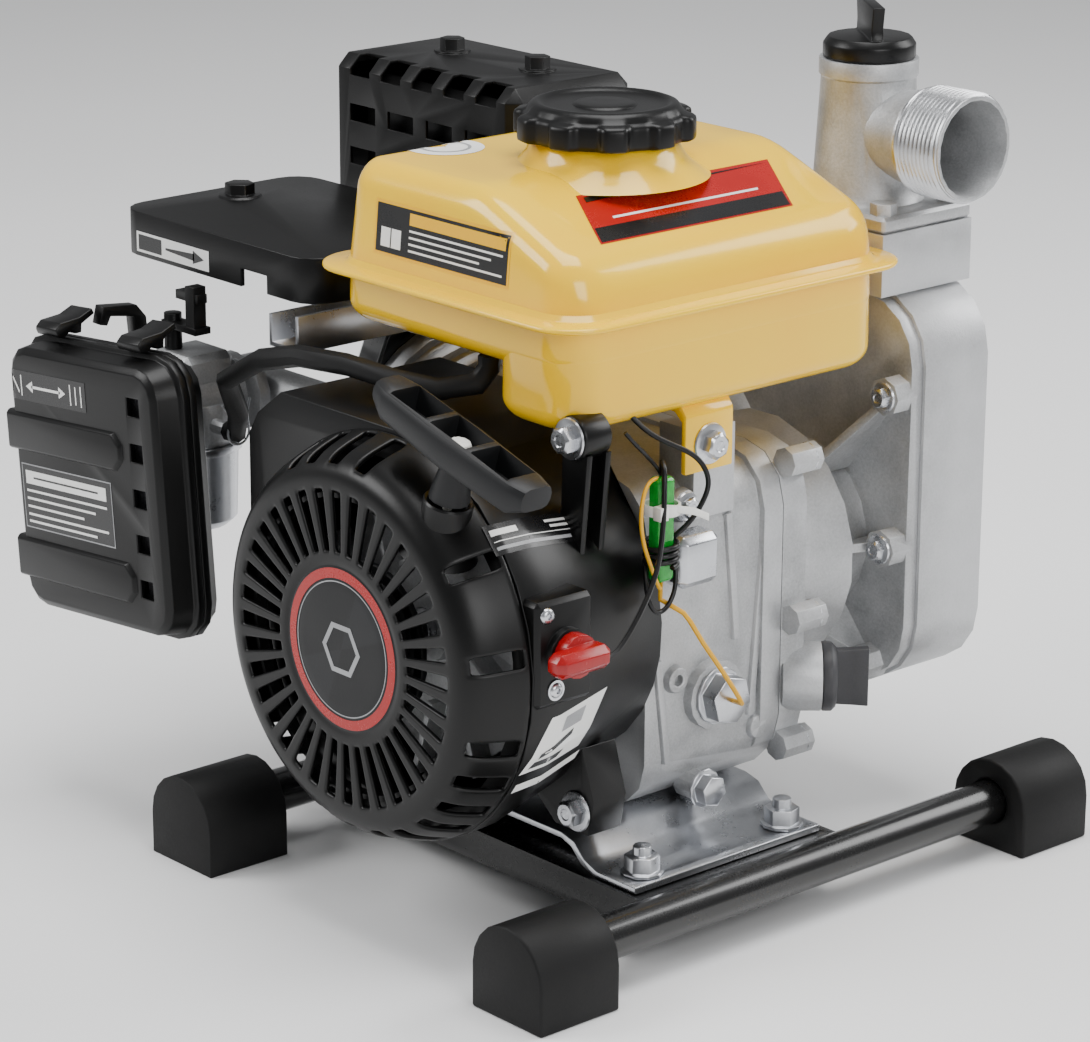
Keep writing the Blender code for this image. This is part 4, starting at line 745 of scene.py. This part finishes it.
addPiece("flangeScrews", meshFrom("flangeScrews", buildScrews), "engine", "zincPlatedSteel",
         32)


def buildLugs(bm):
    turn(bm, [(0, 0), (8.6, 0), (9.2, 1.0), (9.2, 14), (0, 14)], at(62, -87.9, 214),
         Vector((0, 1, 0)), 32)
    for y in (-86, -76):
        loft(bm, [[at(x, y + k, z) for x, z in ((54, 176), (66, 166), (70, 208), (55, 208))]
                  for k in (0, 3.0)])


bevelPiece(addPiece("shroudLug", meshFrom("shroudLug", buildLugs), "engine",
                    "mouldedPolypropylene"), 0.8)


# Cast bosses and ribs on the crankcase's side. Bosses are (y, z, profile, hollow), and ribs run
# from one (y, z) to another.
caseSide = {"x": 57.4, "ribX": 57.6, "ribSection": ((-2.4, 0), (2.4, 0), (1.5, 2.0), (-1.5, 2.0)),
            "bosses": [(-24, 173, [(0, 0), (7.4, 0), (6.6, 4.2), (0, 4.2)], False),
                       (-26, 98, [(2.4, 0), (6.2, 0), (5.4, 3.6), (4.9, 4.0), (2.8, 4.0),
                                  (2.4, 3.6)], True),
                       (22, 66, [(0, 0), (5.6, 0), (4.9, 3.2), (0, 3.2)], False)],
            "ribs": [((9, 108), (3, 164)), ((-36, 108), (-30, 62)), ((18, 72), (26, 168))]}
outOfCase = Vector((1, 0, 0))


def buildCaseBosses(bm):
    for y, z, profile, hollow in caseSide["bosses"]:
        turn(bm, profile, at(caseSide["x"], y, z), outOfCase, 32, ring=hollow)
    for (y0, z0), (y1, z1) in caseSide["ribs"]:
        side = Vector((0, z1 - z0, -(y1 - y0))).normalized()
        loft(bm, [[at(caseSide["ribX"], y, z) + side * (a / 1000) + outOfCase * (b / 1000)
                   for a, b in caseSide["ribSection"]] for y, z in ((y0, z0), (y1, z1))])


bevelPiece(addPiece("caseBosses", meshFrom("caseBosses", buildCaseBosses), "engine",
                    "blastedAluminium"), 0.6)

# Two pan-head screws on the stop switch, the lower one over a ring terminal.
switchScrews = {"x": 87.4, "upper": (-122.6, 154.6), "lower": (-118, 123)}


def buildSwitchScrews(bm):
    for y, z in (switchScrews["upper"], switchScrews["lower"]):
        turn(bm, [(0, 0), (3.3, 0), (3.2, 0.9), (2.4, 1.8), (1.2, 2.0), (0.9, 1.2), (0, 1.2)],
             at(switchScrews["x"], y, z), outOfCase, 32)
    turn(bm, [(0, 0), (4.2, 0), (4.2, 0.7), (0, 0.7)],
         at(switchScrews["x"] + 0.1, *switchScrews["lower"]), outOfCase, 32)


addPiece("switchScrews", meshFrom("switchScrews", buildSwitchScrews), "engine", "zincPlatedSteel",
         40)

# A spring clip of wire round the fuel hose: a little over one turn, with two ears to squeeze.
hoseClip = {"x": -152, "y": -90, "z": 170.2, "radius": 5.9, "wire": 1.1, "advance": 0.03}
clipTurn = [at(hoseClip["x"] + hoseClip["advance"] * k,
               hoseClip["y"] + hoseClip["radius"] * math.cos(2 * math.pi * k / 12),
               hoseClip["z"] + hoseClip["radius"] * math.sin(2 * math.pi * k / 12))
            for k in range(14)]
tube("hoseClip", [at(-151, -99, 184), at(-151, -96, 179), *clipTurn, at(-151, -86, 180),
                  at(-151, -84, 185)], hoseClip["wire"], "engine", "zincPlatedSteel")
print("screws and castings' details made")


# ---- air box: raised bands across the lid's face
airBox = {"middle": (-181.5, 148.5), "tilt": math.radians(5), "face": -150.0, "rise": 1.7,
          "bands": [(-239.0, -150.0, 160.0, 178.0), (-239.0, -147.0, 102.0, 121.0)]}


def inAirBox(x, y, z):
    cx, cz = airBox["middle"]
    a = airBox["tilt"]
    dx, dz = x - cx, z - cz
    return at(cx + dx * math.cos(a) - dz * math.sin(a), y, cz + dx * math.sin(a) + dz * math.cos(a))


def buildLidBands(bm):
    face, rise = airBox["face"], airBox["rise"]
    for lowX, highX, lowZ, highZ in airBox["bands"]:
        outline = [(lowX, lowZ), (highX - 7, lowZ), (highX - 2, lowZ + 5), (highX - 2, highZ - 5),
                   (highX - 7, highZ), (lowX, highZ)]
        cx = sum(x for x, _ in outline) / len(outline)
        cz = sum(z for _, z in outline) / len(outline)
        loft(bm, [[inAirBox(x - math.copysign(drawn, x - cx), y, z - math.copysign(drawn, z - cz))
                   for x, z in outline]
                  for y, drawn in ((face + 6, 0.0), (face + 0.6, 0.0), (face - rise, 1.4))])


bevelPiece(addPiece("lidBands", meshFrom("lidBands", buildLidBands), "lid",
                    "mouldedPolypropylene"), 0.7)


# ---- stickers: plain blocks and lines where the real ones carry print
rightward, inward = Vector((1, 0, 0)), Vector((0, 1, 0))
lidAcross = along(math.cos(airBox["tilt"]), 0, math.sin(airBox["tilt"]))
lidUp = along(-math.sin(airBox["tilt"]), 0, math.cos(airBox["tilt"]))


# Lines in place of print; the second and third of every three are cut short.
def lines(finish, lift, x0, x1, rows, thick, short):
    return [(finish, lift, (x0, y, x1 - short * (i % 3), y + thick)) for i, y in enumerate(rows)]


sticker("badgePrint", [badgePlate], at(0, -155, crank["height"]), rightward, upward,
        [("vinylRed", 0.12, (0, 0, 29.4, 33.6, 96)), ("vinylGrey", 0.12, (0, 0, 27.9, 28.4, 96)),
         ("vinylGrey", 0.12, (0, 0, 9.5, 12.0, 6))], "engine")
sticker("tankFrontSticker", [tankDome], at(-15, -89, 279.3), rightward, upward,
        [("vinylYellow", 0.15, (-42, -11.2, 42, 11.2)), ("vinylBlack", 0.25, (-40.8, -10, 40.8, 10)),
         ("vinylYellow", 0.35, (-20, 3.6, 39.4, 8.6)), ("vinylWhite", 0.35, (-37.6, -7.6, -25, 0.4)),
         ("vinylBlack", 0.45, (-31.6, -7.6, -31.0, 0.4))]
        + lines("vinylWhite", 0.35, -20, 38, (0.8, -1.9, -4.6, -7.3), 0.9, 7), "engine")
sticker("tankRoundSticker", [tankDome], at(-66, -44, 302), rightward, inward,
        [("vinylWhite", 0.15, (0, 0, 0.5, 16.5, 48)), ("vinylGrey", 0.25, (0, 0, 9.5, 11, 48))],
        "engine")
sticker("tankTopSticker", [tankDome], at(34, 3, 292), inward, along(-0.92, 0, 0.37),
        [("vinylRed", 0.15, ((-64, -16.5), (43, -16.5), (58, 16.5), (-50, 16.5))),
         ("vinylBlack", 0.25, ((-62.6, -15.5), (42.2, -15.5), (46.2, -6), (-58.6, -6))),
         ("vinylBlack", 0.25, ((-47.5, 14.5), (-48.9, 11), (55.6, 14.5), (56.6, 14.5))),
         ("vinylWhite", 0.25, ((-45, -2.0), (36, -2.0), (36.8, -0.6), (-44.4, -0.6)))], "engine")
shroud = refined["blower_housing"]
sticker("shroudPlate", [shroud], at(64, -107, 181), inward, along(-0.66, 0, 0.75),
        [("vinylBlack", 0.15, (-25, -6.6, 25, 6.6)), ("vinylWhite", 0.25, (-23, 1.6, -9, 4.2)),
         ("vinylWhite", 0.25, (8, 3.2, 22, 4.4)), ("vinylWhite", 0.25, (10, 0.8, 22, 2.0)),
         ("vinylWhite", 0.25, (-23, -1.2, 23, -0.8)), ("vinylGrey", 0.25, (-23, -4.6, 20, -3.2))],
        "engine")
sticker("shroudSticker", [shroud], at(80, -104, 98), inward, along(0.32, 0, 0.95),
        [("vinylWhite", 0.15, ((-23, -12.5), (14, -12.5), (24, 12.5), (-12, 12.5))),
         ("vinylBlack", 0.25, ((-19, -10.6), (-2, -10.6), (1.2, -7.6), (-16.4, -7.6))),
         ("vinylBlack", 0.25, ((-15, -6.6), (4, -1.2), (4.8, 1.4), (-14.2, -4.0))),
         ("vinylGrey", 0.25, ((-4, 3.0), (9, 3.0), (10.6, 9.6), (-2.4, 9.6)))], "engine")
sticker("shroudStrip", [shroud], at(74, -106, 78), inward, along(0.55, 0, 0.84),
        [("vinylWhite", 0.15, ((-21, -2.2), (18, -2.2), (19, 2.2), (-20, 2.2)))], "engine")
lid = refined["air_box_lid"]
sticker("chokeSticker", [lid], inAirBox(-206, -150, 190), lidAcross, lidUp,
        [("vinylBlack", 0.15, (-29, -6.6, 29, 6.6)), ("vinylWhite", 0.25, (-12, -0.6, 10, 0.6)),
         ("vinylWhite", 0.25, ((-16, 0), (-11, -2.6), (-11, 2.6), (-15.9, 0.1))),
         ("vinylWhite", 0.25, ((9, -2.6), (14, 0), (13.9, 0.1), (9, 2.6))),
         ("vinylWhite", 0.25, (-27.4, -4.6, -26.6, 4.6)), ("vinylWhite", 0.25, (-20, -4.6, -19.2, 4.6)),
         ("vinylWhite", 0.25, ((-26, 2.8), (-21.8, -3.6), (-21.2, -2.8), (-25.4, 3.6))),
         ("vinylWhite", 0.25, (17.4, -4.6, 18.2, 4.6)), ("vinylWhite", 0.25, (25.4, -4.6, 26.2, 4.6)),
         ("vinylWhite", 0.25, (21.4, -4.0, 22.2, 4.0))], "lid")
sticker("filterSticker", [lid], inAirBox(-201, -150, 140), lidAcross, lidUp,
        [("vinylGrey", 0.15, (-30, -14.6, 38, 14.6)), ("vinylBlack", 0.25, (-29.4, -14, 37.4, 14)),
         ("vinylWhite", 0.35, (-27, 5.6, 34, 11.6)), ("vinylBlack", 0.45, (-21, 8.2, 28, 9.0))]
        + lines("vinylWhite", 0.35, -27, 34, (2.0, -1.6, -5.2, -8.8, -12.0), 1.1, 9), "lid")
sticker("leverSticker", [refined["control_cover"]], at(-197, -90, 242.8), rightward, upward,
        [("vinylWhite", 0.15, (-26.5, -4.6, 26.5, 4.6)), ("vinylBlack", 0.25, (-25, -3.4, -8, 3.4)),
         ("vinylBlack", 0.25, ((-5, -0.5), (16, -1.6), (16, 1.6), (-5, 0.5))),
         ("vinylBlack", 0.25, ((15, -3.0), (23, 0), (22.9, 0.1), (15, 3.0)))], "engine")
print("stickers laid")


# ---- wiring beside the shroud: leads wound round the sleeve, and a cable tie
sleeve = {"x": 72.0, "y": -47.5, "windX": 6.6, "windY": 6.9, "from": 156, "pitch": 2.7}
winding = [at(sleeve["x"] + sleeve["windX"] * math.cos(a), sleeve["y"] + sleeve["windY"] * math.sin(a),
              sleeve["from"] + sleeve["pitch"] * a / (2 * math.pi))
           for a in (2 * math.pi * k / 14 for k in range(52))]
tube("woundLead", winding, 2.4, "engine", "wireInsulationBlack")
tube("upperLead", [at(72, -41, 166), at(77, -36, 172), at(80, -31, 182), at(79, -27, 189),
                   at(75, -30, 199), at(70, -42, 205), at(66, -52, 211), at(60, -56, 219)],
     2.2, "engine", "wireInsulationBlack")
tube("lowerLead", [at(66, -50, 158), at(74, -58, 152), at(78, -60, 143), at(77, -53, 136),
                   at(77, -45, 141), at(76, -42, 150), at(73, -41, 158)],
     2.0, "engine", "wireInsulationBlack")
tube("yellowLoop", [at(72, -50, 192.5), at(74, -57, 194), at(77, -64, 186), at(79, -65, 172),
                    at(79, -60, 160), at(77, -54, 150), at(74, -49, 145), at(72, -47.5, 148.6)],
     1.7, "engine", "wireInsulationYellow")
tube("earthLead", [at(71, -46, 192), at(69, -50, 200), at(72, -60, 206), at(70, -66, 214)],
     1.7, "engine", "wireInsulationBlack")


def buildCableTie(bm):
    turn(bm, [(6.6, 0), (7.8, 0), (7.8, 4.4), (6.6, 4.4)], at(sleeve["x"], sleeve["y"], 177.5),
         upward, 40, ring=True)
    rings = []
    for x, y, z in ((76.5, -52.5, 181.5), (79.4, -46, 180.6), (80.2, -37, 178), (79, -28, 173.5)):
        rings.append([at(x - 0.5, y, z - 1.6), at(x + 0.5, y, z - 1.6), at(x + 0.5, y, z + 1.6),
                      at(x - 0.5, y, z + 1.6)])
    loft(bm, rings)
    loft(bm, [[at(75 + a, -55 + b, z) for a, b in ((0, 0), (4.6, 0), (4.6, 4.4), (0, 4.4))]
              for z in (176.6, 182.4)])


bevelPiece(addPiece("cableTie", meshFrom("cableTie", buildCableTie), "engine", "nylonTieWhite"), 0.3)
print("wiring laid")


# ---- camera, floor and soft light
view = {"right": (0.66142964, 0.7499974, 0.00383919), "up": (-0.22885322, 0.19694773, 0.95332985),
        "back": (0.71423878, -0.63143923, 0.30190638), "place": (1.21308799, -1.09196733, 0.64232236),
        "lens": 128.558, "shift": (0.009619, 0.007552)}
camera = bpy.data.cameras.new("camera")
camera.sensor_width = 36
camera.lens = view["lens"]
camera.shift_x, camera.shift_y = view["shift"]
camera.clip_start = 0.05
cameraObject = bpy.data.objects.new("camera", camera)
turned = Matrix((view["right"], view["up"], view["back"])).transposed().to_4x4()
turned.translation = view["place"]
cameraObject.matrix_world = turned
bpy.context.scene.collection.objects.link(cameraObject)
bpy.context.scene.camera = cameraObject


room = {"floorHalf": 3.0, "floorRows": 40, "floorColumns": 4, "floorTones": ("#ededed", "#f3f3f3"),
        "floorRough": 0.75, "aim": (0.05, 0, 0.15), "sky": "#f4f5f7", "skyStrength": 0.38}


def buildFloor(bm):
    half, columns, count = room["floorHalf"], room["floorColumns"], room["floorRows"]
    rows = [[bm.verts.new((-half + 2 * half * i / columns, -half + 2 * half * j / count, 0.0))
             for i in range(columns + 1)] for j in range(count + 1)]
    for near, far in zip(rows, rows[1:]):
        for i in range(columns):
            bm.faces.new((near[i], near[i + 1], far[i + 1], far[i]))


studio, tree, shader, place = startMaterial("paleStudioFloor")
shade = addNode(tree, "ShaderNodeTexNoise", {"Scale": 3.0, "Detail": 1.0}, {"Vector": place})
tone = addNode(tree, "ShaderNodeValToRGB", links={"Fac": shade.outputs["Fac"]})
for element, code in zip(tone.color_ramp.elements, room["floorTones"]):
    element.color = srgb(code)
tree.links.new(tone.outputs["Color"], shader.inputs["Base Color"])
shader.inputs["Roughness"].default_value = room["floorRough"]
floorMesh = meshFrom("studioFloor", buildFloor)
floorMesh.materials.append(studio)
floor = bpy.data.objects.new("studioFloor", floorMesh)
bpy.context.scene.collection.objects.link(floor)

# Each lamp is (place, size in metres, watts), and all of them face the same spot.
lights = {"keyLeft": ((-1.1, -1.5, 1.5), 1.0, 30), "fillRight": ((1.7, -0.4, 0.9), 0.8, 13),
          "overhead": ((0.1, 0.1, 1.9), 1.2, 34), "rimBack": ((0.7, 1.6, 1.2), 1.0, 22)}
for name, (spot, size, power) in lights.items():
    lamp = bpy.data.lights.new(name, "AREA")
    lamp.shape = "SQUARE"
    lamp.size = size
    lamp.energy = power
    lampObject = bpy.data.objects.new(name, lamp)
    lampObject.location = spot
    away = Vector(spot) - Vector(room["aim"])
    lampObject.rotation_euler = away.to_track_quat("Z", "Y").to_euler()
    bpy.context.scene.collection.objects.link(lampObject)
world = bpy.data.worlds.new("studioWorld")
world.use_nodes = True
sky = world.node_tree.nodes["Background"]
sky.inputs["Color"].default_value = srgb(room["sky"])
sky.inputs["Strength"].default_value = room["skyStrength"]
bpy.context.scene.world = world
print("camera, floor and lights set")
